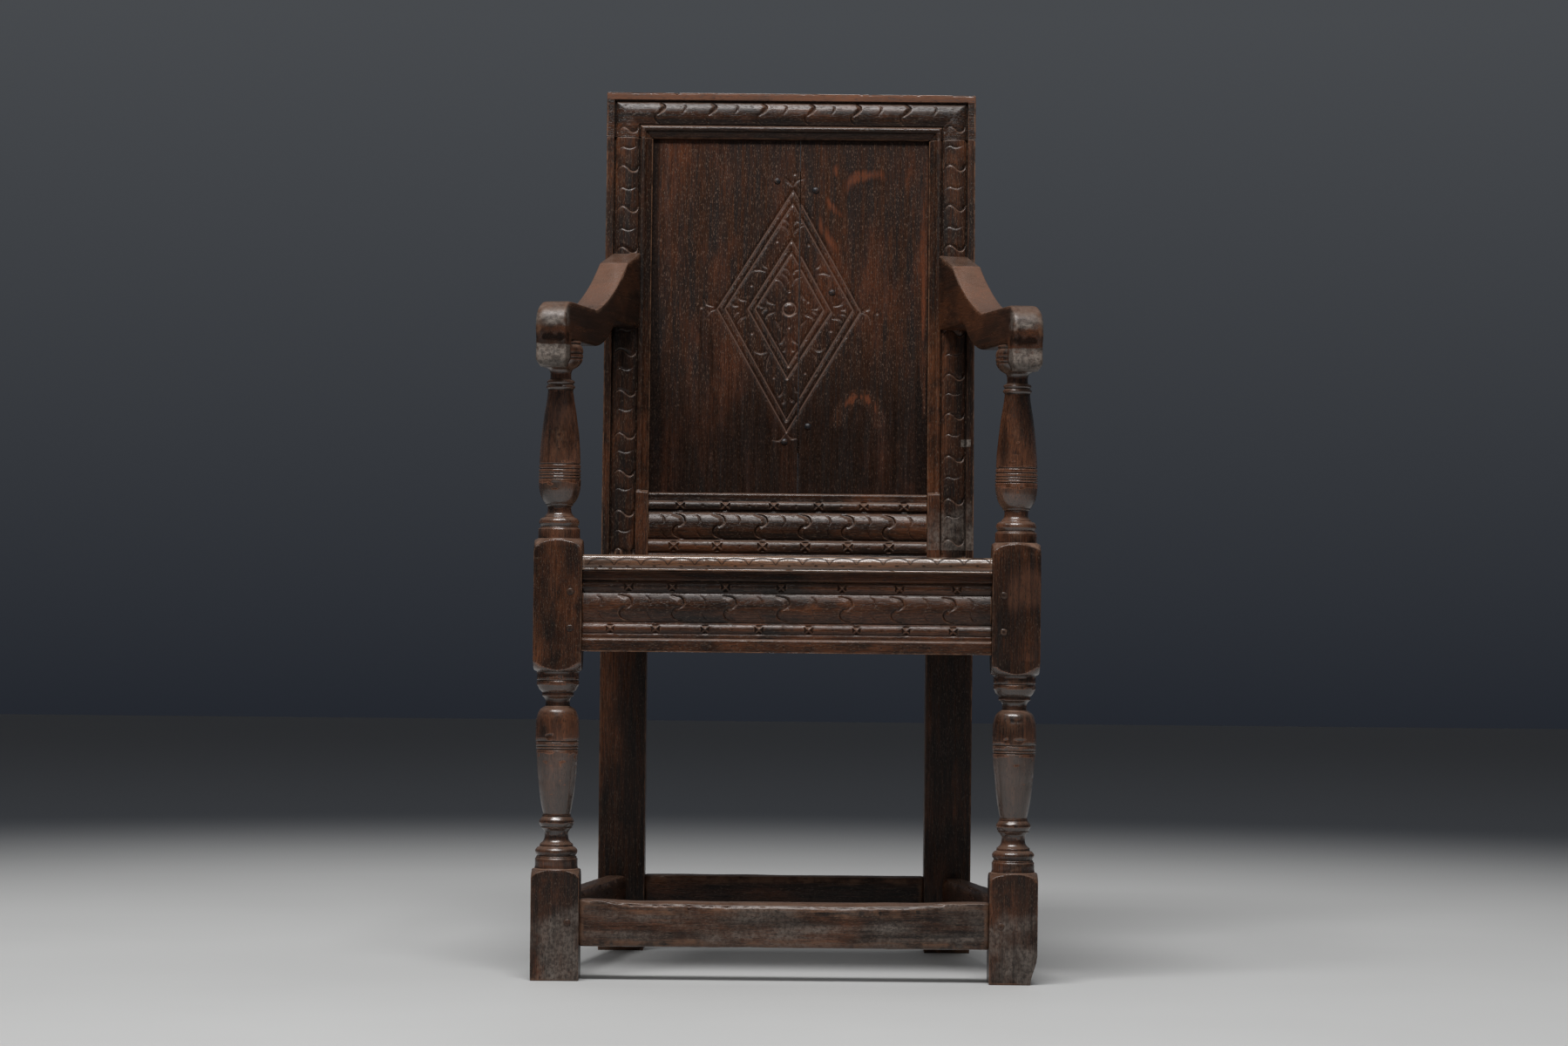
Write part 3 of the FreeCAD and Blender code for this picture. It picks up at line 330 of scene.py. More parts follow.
def piece(
    name, slot, grids, seed, grain=0, place=np.asarray, wear_and_painted_light=nowhere, dirt_and_shade=nowhere,
    sway=0.3, dent=0.5, facets=False,
):
    """Makes a node's mesh from grids in its own frame. It stores what the material reads: places
    along and across the grain, how proud each point is, less so where dirt, dark joints and painted
    shade are put, and its wear, which also carries painted sheen and painted shade."""
    vertices, faces, grains, prouds, worns = [], [], [], [], []
    offset = 0
    shift = np.random.default_rng(seed).uniform(-4, 4, 3)
    order = [grain, (grain + 1) % 3, (grain + 2) % 3]
    for number, grid in enumerate(grids):
        grid = ended(aged(oriented(np.array(grid, float)), seed + 10 * number, sway, dent))
        rings, sides = grid.shape[:2]
        index = np.arange(rings * sides).reshape(rings, sides) + offset
        following = np.roll(index, -1, 1)
        quads = np.stack([index[:-1], following[:-1], following[1:], index[1:]], -1)
        faces.extend(quads.reshape(-1, 4).tolist())
        faces.extend([index[0, ::-1].tolist(), index[-1].tolist()])
        grains.append((grid[..., order] * MM + shift + number * 0.37).reshape(-1, 3))
        # Dirt, dark joints and painted shade lower the proudness, so that the material darkens them
        # as it does hollows
        prouds.append((proudness(grid, 6) - 0.8 * dirt_and_shade(grid)).ravel())
        worns.append(wear_and_painted_light(grid).ravel())
        vertices.append(place(grid).reshape(-1, 3))
        offset += rings * sides
    mesh = bpy.data.meshes.new(name)
    mesh.from_pydata((np.concatenate(vertices) * MM).tolist(), [], faces)
    mesh.polygons.foreach_set("use_smooth", np.full(len(mesh.polygons), not facets))
    for label, kind, field, values in (
        ("grain", "FLOAT_VECTOR", "vector", grains),
        ("proud", "FLOAT", "value", prouds),
        ("wear_and_painted_light", "FLOAT", "value", worns),
    ):
        layer = mesh.attributes.new(label, kind, "POINT")
        layer.data.foreach_set(field, np.concatenate(values).astype(np.float32).ravel())
    mesh.materials.append(MATERIALS[slot])
    mesh.update()
    thing = linked(f"dressed_{name}", mesh)
    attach(thing, "root")
    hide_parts(name)


# Carving


def cut(points, path, left, right, depth, power):
    """How deep a gouge cuts at each place. Its path has rows of places, and at each of them left
    and right are its reach to the two sides of travel, and depth its depth. Power 1 makes a V."""
    widest = max(left.max(), right.max())
    near = ((points > path.min(0) - widest) & (points < path.max(0) + widest)).all(-1)
    result = np.zeros(points.shape[:-1])
    if not near.any():
        return result
    spots = points[near][:, None]
    runs = np.diff(path, axis=0)
    share = np.clip(((spots - path[:-1]) * runs).sum(-1) / (runs**2).sum(-1), 0, 1)
    gaps = spots - path[:-1] - runs * share[..., None]
    reach = np.hypot(gaps[..., 0], gaps[..., 1])
    best = reach.argmin(1)
    pick = np.arange(len(best))
    gap, run = gaps[pick, best], runs[best]
    place = best + share[pick, best]
    rows = np.arange(len(path))
    on_left = run[:, 0] * gap[:, 1] - run[:, 1] * gap[:, 0] > 0
    width = np.where(on_left, np.interp(place, rows, left), np.interp(place, rows, right))
    fall = np.clip(1 - (reach[pick, best] / width) ** power, 0, 1)
    result[near] = np.interp(place, rows, depth) * fall
    return result


def line(points, path, width, depth):
    """A V groove of one width that tapers at its ends."""
    count = len(path)
    taper = 0.35 + 0.65 * np.sin(np.linspace(0.12, 0.88, count) * math.pi)
    reach = width / 2 * taper
    return cut(points, path, reach, reach, depth * taper, 1)


# Carved figures, as places to the right and down in shares of a half length. First come the
# crescent hollows of a deep one: the line of each one's steep wall, and how far its floor slopes up
# to the left of that line's travel. Then come the stab lines of a thin one.
RAIL_FIGURE = (
    (
        (((0.03, 0.09), (0.36, -0.15), (0.45, -0.42), (0.22, -0.8), (-0.51, -0.97)), 0.5),
        (
            ((0.03, -0.02), (-0.27, 0.04), (-0.51, 0.38), (-0.4, 0.74), (-0.09, 0.94), (0.31, 1)),
            0.43,
        ),
    ),
    (
        ((0.01, -0.08), (0.14, -0.33), (0.05, -0.69), (-0.26, -0.94)),
        ((-0.12, 0.03), (-0.08, 0.47), (0.1, 0.8), (0.37, 0.98)),
    ),
)
CREST_FIGURE = (
    (
        (((-0.2, 0.15), (0.12, -0.08), (0.42, -0.4), (0.44, -0.72), (0.09, -0.97)), 0.3),
        (((-0.41, 0.12), (-0.47, 0.47), (-0.33, 0.76), (-0.02, 0.97)), 0.16),
    ),
    (((-0.2, 0.1), (0.08, -0.3), (0.15, -0.65), (-0.1, -0.87)),),
)
STILE_FIGURE = (
    (
        (((-0.34, -0.28), (0.06, -0.06), (0.33, 0.2), (0.6, 0.27), (0.86, 0.1), (1, -0.25)), 0.33),
        (((-1, 0.3), (-0.8, -0.03), (-0.5, -0.26), (-0.18, -0.22), (0.06, -0.04)), 0.12),
    ),
    (((-0.85, 0.14), (-0.45, -0.1), (0, 0.05), (0.4, 0.03), (0.85, -0.22)),),
)
# How far a hollow's steep wall reaches, and what turns a place down a figure into a place up it
STEEP = 1.1
DOWNWARD = (1, -1)


def gouged(points, centre, half, figure, deep):
    """One carved figure: a deep one has crescent hollows, and a thin one only stab lines."""
    depth = np.zeros(points.shape[:-1])
    hollows, stabs = figure
    if deep:
        for wall, slope in hollows:
            path = through(wall, 21) * half * DOWNWARD + centre
            swell = np.sin(np.linspace(0.06, 0.94, 21) * math.pi)
            floor = 0.6 + slope * half * swell
            sunk = 0.9 + 1.8 * swell * min(1, slope * 3)
            depth = np.maximum(depth, cut(points, path, floor, np.full(21, STEEP), sunk, 1.4))
        return depth
    for stab in stabs:
        path = through(stab, 17) * half * DOWNWARD + centre
        swell = np.sin(np.linspace(0.1, 0.9, 17) * math.pi)
        depth = np.maximum(depth, cut(points, path, 1.7 * swell, np.full(17, 0.9), 1.3 * swell, 1))
    return depth


def gouge_row(points, rows, centre, half, figure, join=np.add, share=1):
    """Deep figures at the first row's pixels and thin ones at the second's, where centre puts
    each pixel."""
    depth = np.zeros(points.shape[:-1])
    for pixels, deep in zip(rows, (True, False)):
        for pixel in pixels:
            depth = join(depth, share * gouged(points, centre(pixel), half, figure, deep))
    return depth


def crossed(points, centre, half, depth):
    """Two crossing ridges with a notch in each of the four spaces between them."""
    across, up = np.moveaxis(np.abs((points - centre) / half), -1, 0)
    notch = np.clip((np.abs(across - up) - 0.15) * 3.2, 0, 1)
    return depth * notch * (1 - smooth(np.maximum(across, up), 0.92, 1.04))


def dot(points, centre, radius, depth):
    """A punched dot."""
    gap = np.linalg.norm(points - centre, axis=-1) / radius
    return depth * np.clip(1 - gap**2, 0, 1)


# The mouldings. A row holds a place as a share of the face's width, the depth under the face as a
# share of the moulding's depth, and the bulge of the curve up to it.
SEAT_RAIL_SHARES = (
    (0, 0, 0), (0.11, 0, 0), (0.12, 0.6, 0), (0.135, 0.85, 0), (0.25, 0.85, -0.2), (0.27, 1.1, 0),
    (0.29, 0.85, 0), (0.61, 0.85, -0.13), (0.63, 1.1, 0), (0.66, 0.9, 0), (0.77, 0.9, -0.2),
    (0.79, 0.7, 0), (0.83, 0.7, 0), (0.85, 0.2, 0), (1, 0.2, 0),
)
LOWER_BACK_RAIL_SHARES = (
    (0, 1.3, 0), (0.08, 0.9, -0.25), (0.15, 0.9, 0), (0.165, 0.6, 0), (0.29, 0.6, -0.15),
    (0.3, 1.1, 0), (0.345, 1.1, 0), (0.36, 0.8, 0), (0.77, 0.8, -0.14), (0.78, 1.1, 0),
    (0.81, 1.1, 0), (0.825, 0.6, 0), (1, 0.6, -0.15), (1.012, 1, 0), (1.066, 0.9, 0),
)
BACK_FRAME_SHARES = (
    (0, 0, 0), (0.165, 0, 0), (0.17, 0.9, 0), (0.2, 0.9, 0), (0.21, 0.7, 0), (0.7, 0.7, -0.12),
    (0.705, 1, 0), (0.725, 1, 0), (0.73, 0.7, 0), (0.85, 0.7, -0.2), (0.86, 1, 0), (1, 2.1, 0),
)
# Where its torus has its middle and its bead starts, as shares of the face's width
TORUS_MIDDLE = 0.455
BEAD_START = 0.725


def moulding(shares, width, step=0.8):
    """A moulding's section: places over the face's width, and the depths there."""
    rows = [(place * width, depth * MOULDING_DEPTH, bulge) for place, depth, bulge in shares]
    section = trace(rows, step)
    return np.maximum.accumulate(section[:, 0]), np.maximum(section[:, 1], 0)


# Front legs: the turned outline in (height, radius, bulge) rows. Where the radius is over the
# square's corner the leg is square, and between them the pommels' shoulders are cut.
LEG_ROWS = (
    (0, 40), (117, 40), (127.4, 26.4, 0.14), (128, 25.2), (139, 25.2), (139.8, 23.8), (141.8, 23.8),
    (142.4, 22), (152.3, 22, 0.29), (152.6, 19.6), (156, 19.5), (166, 14, -0.17), (170, 14.1),
    (174.7, 19.2, -0.1), (175.4, 17.6), (186.6, 17.6, 0.27), (187, 17), (189.3, 17), (190, 15.8),
    (229, 21.8, 0.02), (264.6, 25.1, 0.01), (265.2, 23.3), (265.8, 25.2), (267.5, 25.3),
    (268.1, 23.5), (268.7, 25.3), (273.7, 25.6), (274.3, 23.7), (274.9, 25.6), (292, 25.6, 0.02),
    (306, 23.2, 0.06), (313.6, 17, 0.12), (315, 14.4), (321, 14.3), (326.3, 18.9, -0.12),
    (330.2, 18.9), (330.6, 18), (338.4, 24, 0.14), (339, 24.9), (344, 24.9), (344.6, 23.4),
    (345.2, 24.9), (354.7, 24.9), (355.2, 26.5), (371, 40, 0.16), (490, 40), (507, 26.5, 0.16),
    (507.7, 24.5), (518, 24.5), (519.3, 24.4), (519.8, 22.8), (520.4, 23.2), (521.5, 21.2),
    (531.5, 21.2, 0.25), (532.4, 17.6), (534, 17.5), (539, 14, -0.12), (545, 14), (545.5, 16),
    (547.5, 16), (552, 19.9, 0.06), (560, 23.1, 0.05), (567, 24.5, 0.03), (576.4, 25, 0.01),
    (577, 23.2), (577.6, 25), (580, 25), (580.5, 23.2), (581, 25), (583, 24.9), (583.5, 23.1),
    (584, 24.8), (587.4, 24.7), (588, 22.9), (588.6, 24.6), (592.9, 24.4), (593.5, 22.6),
    (594.1, 24.3), (609, 23.6), (628.5, 21.9), (651.5, 19), (667, 16.3), (679.4, 14.7),
    (680.2, 15.4), (685, 15.4, 0.36), (685.5, 14.6), (686, 15), (690.6, 15, 0.36), (691.4, 12.4),
    (699, 12.3), (703, 14.5, -0.1), (709, 22.6, 0.08), (714.6, 25.4, 0.08), (715.4, 24.2),
    (716.2, 25.6), (720, 25.8, 0.03), (720.8, 24.6), (721.6, 25.7), (731, 23, 0.12), (731.8, 22),
    (735.6, 22.6, 0.3), (736, 20), (736.2, 11), (LEG_TOP, 11),
)


def turned_leg(centre_across, centre_deep):
    """Rings up a leg that is square where the turning leaves it so."""
    side = np.sin(np.linspace(-0.8, 0.8, 25)[:-1] * math.pi / 2) / math.sin(0.4 * math.pi)
    flat = np.ones(24)
    sides = ((flat, side), (-side, flat), (-flat, -side), (side, -flat))
    square = np.concatenate([np.stack(pair, -1) for pair in sides])
    reach = np.hypot(square[:, 0], square[:, 1])
    ways = square / reach[:, None]
    outline = trace(LEG_ROWS, 1)
    radius = np.minimum(reach * LEG_SQUARE / 2, outline[:, 1:])
    flatness = radius[..., None] * ways
    up = np.broadcast_to(outline[:, :1], radius.shape)
    return np.stack([centre_across + flatness[..., 0], centre_deep + flatness[..., 1], up], -1)


def leg_wear(grid):
    """A front leg's rubbed vases and turning, its polished undersides with a painted grey sheen for
    the floor's reflection, its reddened block on the right and the dust on its foot."""
    up = grid[..., 2]
    turned = 0.33 * (smooth(up, 120, 128) * smooth(366 - up, 0, 8) + smooth(up, 494, 502))
    vase = bump(up, 250, 60) * 0.2 + bump(up, 590, 50) * 0.12
    dust = smooth(124 - up + 20 * noise(grid, 25, 6), 0, 60) * (0.56 + 0.06 * noise(grid, 9, 7))
    under = smooth(up, 150, 152) * smooth(366 - up, 0, 2) + smooth(up, 520, 522)
    # Painted reflection: undersides that face down take a grey sheen in their colour, standing for
    # the pale floor they reflect, as well as more gloss
    polish_and_painted_sheen = under * smooth(-outward(grid)[..., 2], 0.05, 0.07)
    block = smooth(up, 366, 374) * smooth(494 - up, 0, 8) * (grid[..., 0] > 0)
    reddened = block * (0.3 + 0.3 * noise(grid, (20, 20, 50), 12))
    return np.clip(turned + vase + reddened + 0.2 * noise(grid, 26, 5), 0, 1) - dust + 1.5 * polish_and_painted_sheen


def leg_shade_and_dirt(grid):
    """Painted shade in each vase's narrow neck, under the swell above it, and dark dirt in soft
    patches.
    """
    up = grid[..., 2]
    # Painted shade in the necks
    necks = bump(up, 668, 34) * 0.45 + bump(up, 316, 16) * 0.4 + bump(up, 555, 16) * 0.2
    turned = smooth(up, 262, 268) * smooth(366 - up, 0, 8) + smooth(up, 494, 502)
    patches = (0.12 + 0.38 * turned) * smooth(noise(grid, (22, 22, 55), 15), 0.05, 0.6)
    return necks * (0.7 + 0.5 * noise(grid, 12, 16)) + patches


def foot_worn(grid, side):
    """The right foot has lost its outer lower arris."""
    worn_off = 8 * smooth(36 - grid[..., 2], 0, 36) * (side > 0)
    grid[..., 0] = np.minimum(grid[..., 0], LEG_OUTER - worn_off)
    return grid


# The raked back

# Where the photograph's gouges lie, in its pixels: first the deep ones, then the thin ones
STILE_GOUGES = {
    -1: (
        (192.5, 239, 286, 327, 357, 404, 450, 499, 542, 588, 632),
        (169, 216, 263, 308, 342, 380, 423, 470, 518, 561, 609),
    ),
    1: (
        (192, 238, 284, 330, 382, 432, 477, 526, 575, 622),
        (168, 215, 261, 307, 356, 407, 452, 499, 548, 593),
    ),
}
CREST_GOUGES = ((757, 816, 874, 929, 982, 1039), (785, 845, 901, 956, 1010, 1073))
LOWER_GOUGES = ((779, 825, 873.5, 923.5, 973, 1020), (760, 801, 847, 899, 951, 997, 1044.5))
SEAT_GOUGES = (
    (718, 778, 838, 899, 971, 1030, 1090),
    (688, 744, 807, 872, 934, 1002, 1062, 1115),
)

# Half the length of the figures, and how far down its rail's height a row of them lies
STILE_HALF, CORNER_HALF, CREST_HALF, LOWER_HALF, SEAT_HALF = 13.8, 12.5, 13.4, 15.4, 14.6
LOWER_GOUGE_SHARE = 0.565
SEAT_GOUGE_SHARE = 0.45

# The pixels from the photograph's middle to the middle of a stile, the rows that the crest, its
# corner gouges, the lower rail and the seat rail lie on, and a notch in the crest's top
STILE_PIXELS = 188
CREST_ROW = 131
CORNER_ROW = 148
NOTCH_PIXEL = (777, 110)
LOWER_ROW = 605
SEAT_ROW = 698

# The filled patch on the right stile: its middle, and half its width and height
PATCH_PIXEL = (1108, 508.5)
PATCH_HALF = (5.5, 4.2)

# The crosses of the two rails. A row holds their pixels, how far down the rail's height they lie,
# half their width and height, and their depth. Then come the dots' radius and depth.
LOWER_CROSSES = (
    ((780, 832, 887.5, 939, 991, 1037), 0.2275, (5.6, 5.6), 2),
    ((773, 823, 875, 924, 973, 1020), 0.9125, (6, 6.2), 2),
)
LOWER_DOTS = (1.7, 0.9)
SEAT_LOW_PIXELS = (700, 752, 809, 871, 928, 983, 1040, 1094)
SEAT_CROSSES = (
    ((721, 771, 832, 896, 966, 1032, 1098), 0.1925, (5, 5.4), 1.8),
    (SEAT_LOW_PIXELS, 0.715, (4.8, 5), 1.6),
    (SEAT_LOW_PIXELS, 0.925, (4.5, 5), 0.5),
)
SEAT_DOTS = (1.5, 0.7)


def stile_place(side, row):
    """The middle of a stile's torus at one of the photograph's rows."""
    up = back_at_pixel(MIDDLE_PIXEL + side * STILE_PIXELS, row)[1]
    return side * (POST_OUTER - TORUS_MIDDLE * POST_WIDTH), up


def stile_gouges(points, side):
    """The S gouges up a stile's torus."""
    place = partial(stile_place, side)
    return gouge_row(points, STILE_GOUGES[side], place, STILE_HALF, STILE_FIGURE, np.maximum)


def rear_post(side):
    """A post that is square to the seat and moulded and gouged above it."""
    up = np.concatenate([spread(-SEAT_TOP, -4, 8), spread(0, STILE_TOP, 0.75)])
    place, section = moulding(BACK_FRAME_SHARES, POST_WIDTH)
    depths = np.tile(section, (len(up), 1))
    stop = smooth(up, LOWER_RAIL_HIGH - 1, LOWER_RAIL_HIGH + 2.5)[:, None]
    depths = np.where((place > BEAD_START * POST_WIDTH) & (stop < 1), depths * stop, depths)
    face = POST_OUTER - place
    places = np.stack(np.meshgrid(side * face, up, indexing="xy"), -1)
    depths = depths + stile_gouges(places, side)
    depths = depths * (up > -1)[:, None]
    across, deep = faced(face, depths - POST_DEPTH, 0, 10, 10)
    return np.stack([side * across, deep, on_rings(up, across)], -1)


def post_wear(grid, side):
    """The right stile's pale filled patch, and the dust at its foot."""
    pixels = pixels_of(raked(grid))
    front = (grid[..., 1] < 8 - POST_DEPTH) & (grid[..., 2] > 4)
    patch = (np.abs(pixels - PATCH_PIXEL) < PATCH_HALF).all(-1)
    dust = smooth(95 - grid[..., 2] + 22 * noise(grid, 14, 8), 0, 70) * 0.55
    return -np.where((side > 0) & front, np.maximum(patch * 1.1, dust), 0)


def post_place(grid):
    """Upright below the seat, and raked above it from a ring that lies level on the seat."""
    upright = grid + (0, BACK, SEAT_TOP)
    level = (0.3 + grid[..., 1:2] * math.sin(RAKE)) / math.cos(RAKE)
    along = np.where(np.abs(grid[..., 2:]) < 0.4, level, grid[..., 2:])
    return np.where(grid[..., 2:] < -1, upright, raked(np.concatenate([grid[..., :2], along], -1)))


def crest_wear(grid):
    """The crest's flat band, which hands have reddened and polished."""
    return 0.62 * smooth(grid[..., 2], BACK_LENGTH - 10.5, BACK_LENGTH - 9)


def corner_seam(grid):
    """1 along the joint between the crest and a stile."""
    beside = np.abs(grid[..., 0]) > POST_INNER - 0.5
    return (np.abs(grid[..., 2] - STILE_TOP) < 1.1) & beside


def crest_gouges(places):
    """The crest's gouges, at places across and up its face, and one S gouge in each corner."""
    up = BACK_LENGTH - TORUS_MIDDLE * CREST_HEIGHT
    depth = gouge_row(
        places, CREST_GOUGES, lambda x: (back_at_pixel(x, CREST_ROW)[0], up),
        CREST_HALF, CREST_FIGURE,
    )
    for side in (-1, 1):
        corner = stile_place(side, CORNER_ROW)
        depth = depth + gouged(places, corner, CORNER_HALF, STILE_FIGURE, True)
    return depth


def paler_gouge_floors(gouges):
    """The floors of carved gouges that face forward are paler than the grimy quirks: less painted
    shade and dirt is put in them.
    """

    def floors(grid):
        carved = np.minimum(gouges(grid[..., [0, 2]]) / 1.5, 1)
        return -0.3 * carved * outward(grid)[..., 1].clip(-1, 0) ** 2

    return floors


def crest():
    """The crest rail: the stiles' moulding turned along the top, with mitred corners."""
    place, section = moulding(BACK_FRAME_SHARES, POST_WIDTH, 0.9)
    middle = spread(-POST_INNER, POST_INNER, 0.75)[1:-1]
    along = np.concatenate([place - POST_OUTER, middle, (POST_OUTER - place)[::-1]])
    down = place * CREST_HEIGHT / POST_WIDTH
    inward = np.minimum(POST_OUTER - np.abs(along), POST_WIDTH)
    rank = np.arange(len(place))
    steps = np.minimum(rank[None], np.interp(inward, place + rank * 1e-7, rank)[:, None])
    depths = np.interp(steps, rank, section)
    face = BACK_LENGTH - down
    places = np.stack(np.meshgrid(along, face, indexing="ij"), -1)
    depths = depths + crest_gouges(places)
    notch = bump(places[..., 0], back_at_pixel(*NOTCH_PIXEL)[0], 4)
    notch = notch * (BACK_LENGTH - places[..., 1] < 0.1)
    up, deep = faced(face, depths - POST_DEPTH, 0, 12, 10)
    grid = np.stack([on_rings(along, up), deep, up], -1)
    grid[:, : len(face), 2] -= 2.5 * notch
    return grid


def carved_rail(along, shares, top, height, gouges, crosses, dots, across_at, front, back, turns):
    """A moulded rail with its gouges, and rows of crosses with a dot between each two."""
    place, section = moulding(shares, height)
    face = top - place
    places = np.stack(np.meshgrid(along, face, indexing="ij"), -1)
    depths = np.tile(section, (len(along), 1)) + gouges(places)
    for pixels, row, half, sunk in crosses:
        middles = [across_at(pixel) for pixel in pixels]
        up = top - row * height
        for across in middles:
            depths = depths + crossed(places, (across, up), half, sunk)
        for across, after in zip(middles, middles[1:]):
            depths = depths + dot(places, ((across + after) / 2, up), *dots)
    up, deep = faced(face, depths + front, back, *turns)
    return np.stack([on_rings(along, up), deep, up], -1)


def lower_rail_across(pixel):
    return back_at_pixel(pixel, LOWER_ROW)[0]


def lower_rail_gouges(places):
    """The lower back rail's gouges, at places across and up its face."""
    up = LOWER_RAIL_HIGH - LOWER_GOUGE_SHARE * (LOWER_RAIL_HIGH - LOWER_RAIL_LOW)
    return gouge_row(
        places, LOWER_GOUGES, lambda x: (lower_rail_across(x), up), LOWER_HALF, RAIL_FIGURE
    )


def lower_back_rail():
    """The rail under the panel, scribed down to the seat."""
    grid = carved_rail(
        spread(-POST_INNER, POST_INNER, 0.7), LOWER_BACK_RAIL_SHARES,
        LOWER_RAIL_HIGH, LOWER_RAIL_HIGH - LOWER_RAIL_LOW,
        lower_rail_gouges, LOWER_CROSSES, LOWER_DOTS, lower_rail_across,
        -POST_DEPTH, LOWER_RAIL_THICKNESS - POST_DEPTH, (8, 14),
    )
    grid[..., 2] = np.maximum(grid[..., 2], grid[..., 1] * math.tan(RAKE) + 0.2)
    return grid


# The panel's carving, in the photograph's pixels. Each lozenge line runs from its apex to the left.
LOZENGES = (
    ((910.3, 218), (823, 354), (902.2, 495.5), (987, 357.6)),
    ((909.6, 233.3), (832, 353.5), (902.2, 481.6), (978.5, 355.4)),
    ((908.4, 275), (858.2, 354), (903, 433.9), (953.6, 357.6)),
    ((908, 289.8), (866.3, 354), (904.4, 420), (944.8, 355.4)),
)
CURLS = (
    ((900.8, 204.7), (905.9, 209.8), (909.6, 214.2)),
    ((910.3, 213.5), (914.7, 207.6), (922.8, 204.7)),
    ((807.6, 343.3), (811.3, 349.2), (819.3, 351.8)),
    ((812, 362), (815.7, 356.9), (821.5, 354.7)),
    ((998.3, 351.7), (995.4, 355.4), (988.8, 356.9)),
    ((987.3, 357.6), (995.4, 362), (999, 371.5)),
    ((886, 505), (894.9, 505), (900.7, 497.7)),
    ((902.2, 497), (906.6, 502.1), (914.7, 503.1)),
    ((897.8, 250.9), (902.2, 253.1), (905.2, 257.5)),
    ((897.1, 258.2), (902.2, 261.9), (905.2, 269.2)),
    ((911, 257.5), (914, 253.8), (919.1, 253.1)),
    ((911, 267.7), (915.4, 261.9), (922.8, 258.2)),
    ((874.3, 302.2), (876.5, 305.2), (880.9, 307.8)),
    ((863.3, 310.3), (870.7, 309.6), (878.7, 311.8)),
    ((941.8, 302.2), (939.6, 305.9), (936, 308.1)),
    ((938.9, 314.4), (945.5, 313.5), (952.1, 315.9)),
    ((845, 338.9), (849.4, 343.3), (856.7, 345.1)),
    ((839.9, 347.7), (842.8, 350.6), (847.2, 350.9)),
    ((842.1, 363.5), (845, 359.1), (848.7, 357.6)),
    ((845.7, 371.5), (849.4, 365.7), (856, 362.7)),
    ((955.8, 351.4), (963.1, 350.3), (968.2, 345.1)),
    ((964.6, 355.8), (969, 355.4), (970.4, 352.9)),
    ((963.8, 360.5), (968.2, 360.8), (971.9, 363.9)),
    ((954.3, 365.7), (961.6, 365.7), (967.5, 370.4)),
    ((864.8, 401.6), (872.1, 405.3), (879.5, 403.4)),
    ((883.2, 406), (880.2, 414.8), (879.2, 425.8)),
    ((932.3, 399.4), (939.6, 402.3), (945.5, 399.9)),
    ((931.6, 405.3), (935.2, 409.7), (937.1, 417)),
    ((898.6, 448.6), (896.3, 452.2), (891.9, 455.2)),
    ((900, 456.6), (899.3, 461), (895.9, 463.2)),
    ((911, 443.4), (913.2, 448.3), (916.9, 450.5)),
    ((905.9, 455.9), (907.4, 459.1), (911.5, 460.6)),
    ((899.3, 306.9), (903.7, 309.6), (905.9, 314.7)),
    ((896.8, 314), (902.2, 317.6), (904.9, 325)),
    ((890.5, 319.1), (896.3, 323.5), (900.8, 331.6)),
    ((909.6, 314), (912.5, 310.3), (917.9, 309.1)),
    ((908.5, 327.2), (913.2, 319.8), (920.6, 316.9)),
    ((918.4, 334.5), (920.6, 340.4), (925, 344.8)),
    ((878, 341.1), (881, 346.2), (889, 349.2)),
    ((870, 348.4), (873.6, 352.1), (880.2, 352.5)),
    ((873.6, 359.1), (876.5, 355.4), (880.9, 354.4)),
    ((878, 365.7), (881.7, 360.5), (889, 357.9)),
    ((930.8, 354.7), (936.7, 354.4), (939.9, 351)),
    ((931.6, 357.6), (934.5, 358.3), (937.4, 361.7)),
    ((922, 360.5), (929.4, 362.3), (934.5, 367.6)),
    ((888.3, 367.1), (892.7, 371.5), (894.9, 378.4)),
    ((891.2, 395), (897.1, 392.1), (900, 385.5)),
    ((895.9, 402.8), (899.3, 402.8), (901.8, 398.7)),
    ((925.7, 367.1), (919.1, 373), (916.9, 379.6)),
    ((907.4, 386.2), (910.3, 391.3), (916.2, 394.3)),
    ((907.4, 398.7), (909.1, 402.3), (913.2, 402.3)),
)
PUNCHES = (
    (912, 199.5), (804.7, 352.5), (1006.4, 359.8), (891.7, 276.5), (927.9, 280.9), (862.3, 327.2),
    (955, 333), (862.6, 382.2), (953.1, 379.6), (887.8, 433.1), (923.8, 428), (905.6, 333),
    (927.2, 346.2), (905.4, 375.5),
)
ROUNDEL = (905.4, 353.9)
# Strokes of red figure and of dark stain: a path and its reach to each side. The two dark strokes
# along the panel's top, under the crest, are painted shadow with dirt.
FLAMES = (
    (((958.7, 186), (958.7, 205)), 2.6),
    (((972, 227), (973, 212), (981, 204), (995, 201.5), (1010, 200.5), (1019, 212)), 6),
    (((936, 237), (945.5, 266), (952.8, 278), (962, 292)), 4.5),
    (((947, 225), (956, 238.5), (966, 250)), 3.5),
    (((961, 484), (968, 467), (980, 456), (992, 456), (1002, 465), (1008, 484)), 4.5),
    (((1061, 165), (1059, 280), (1060, 480)), 2.8),
)
STAINS_AND_SHADOW = (
    (((833, 272), (829, 300), (824, 330), (826, 350)), 8),
    (((812, 330), (806, 380), (812, 420)), 9),
    # Painted shadow with dirt under the crest
    (((770, 168), (800, 176), (840, 170), (900, 172)), 12),
    (((930, 170), (1000, 176), (1060, 168)), 10),
)
# The corners of the carved part, and how far apart points lie there and on the plain rest
CARVED_LOW = (800, 195)
CARVED_HIGH = (1012, 512)
FINE = 0.8
COARSE = 2.4


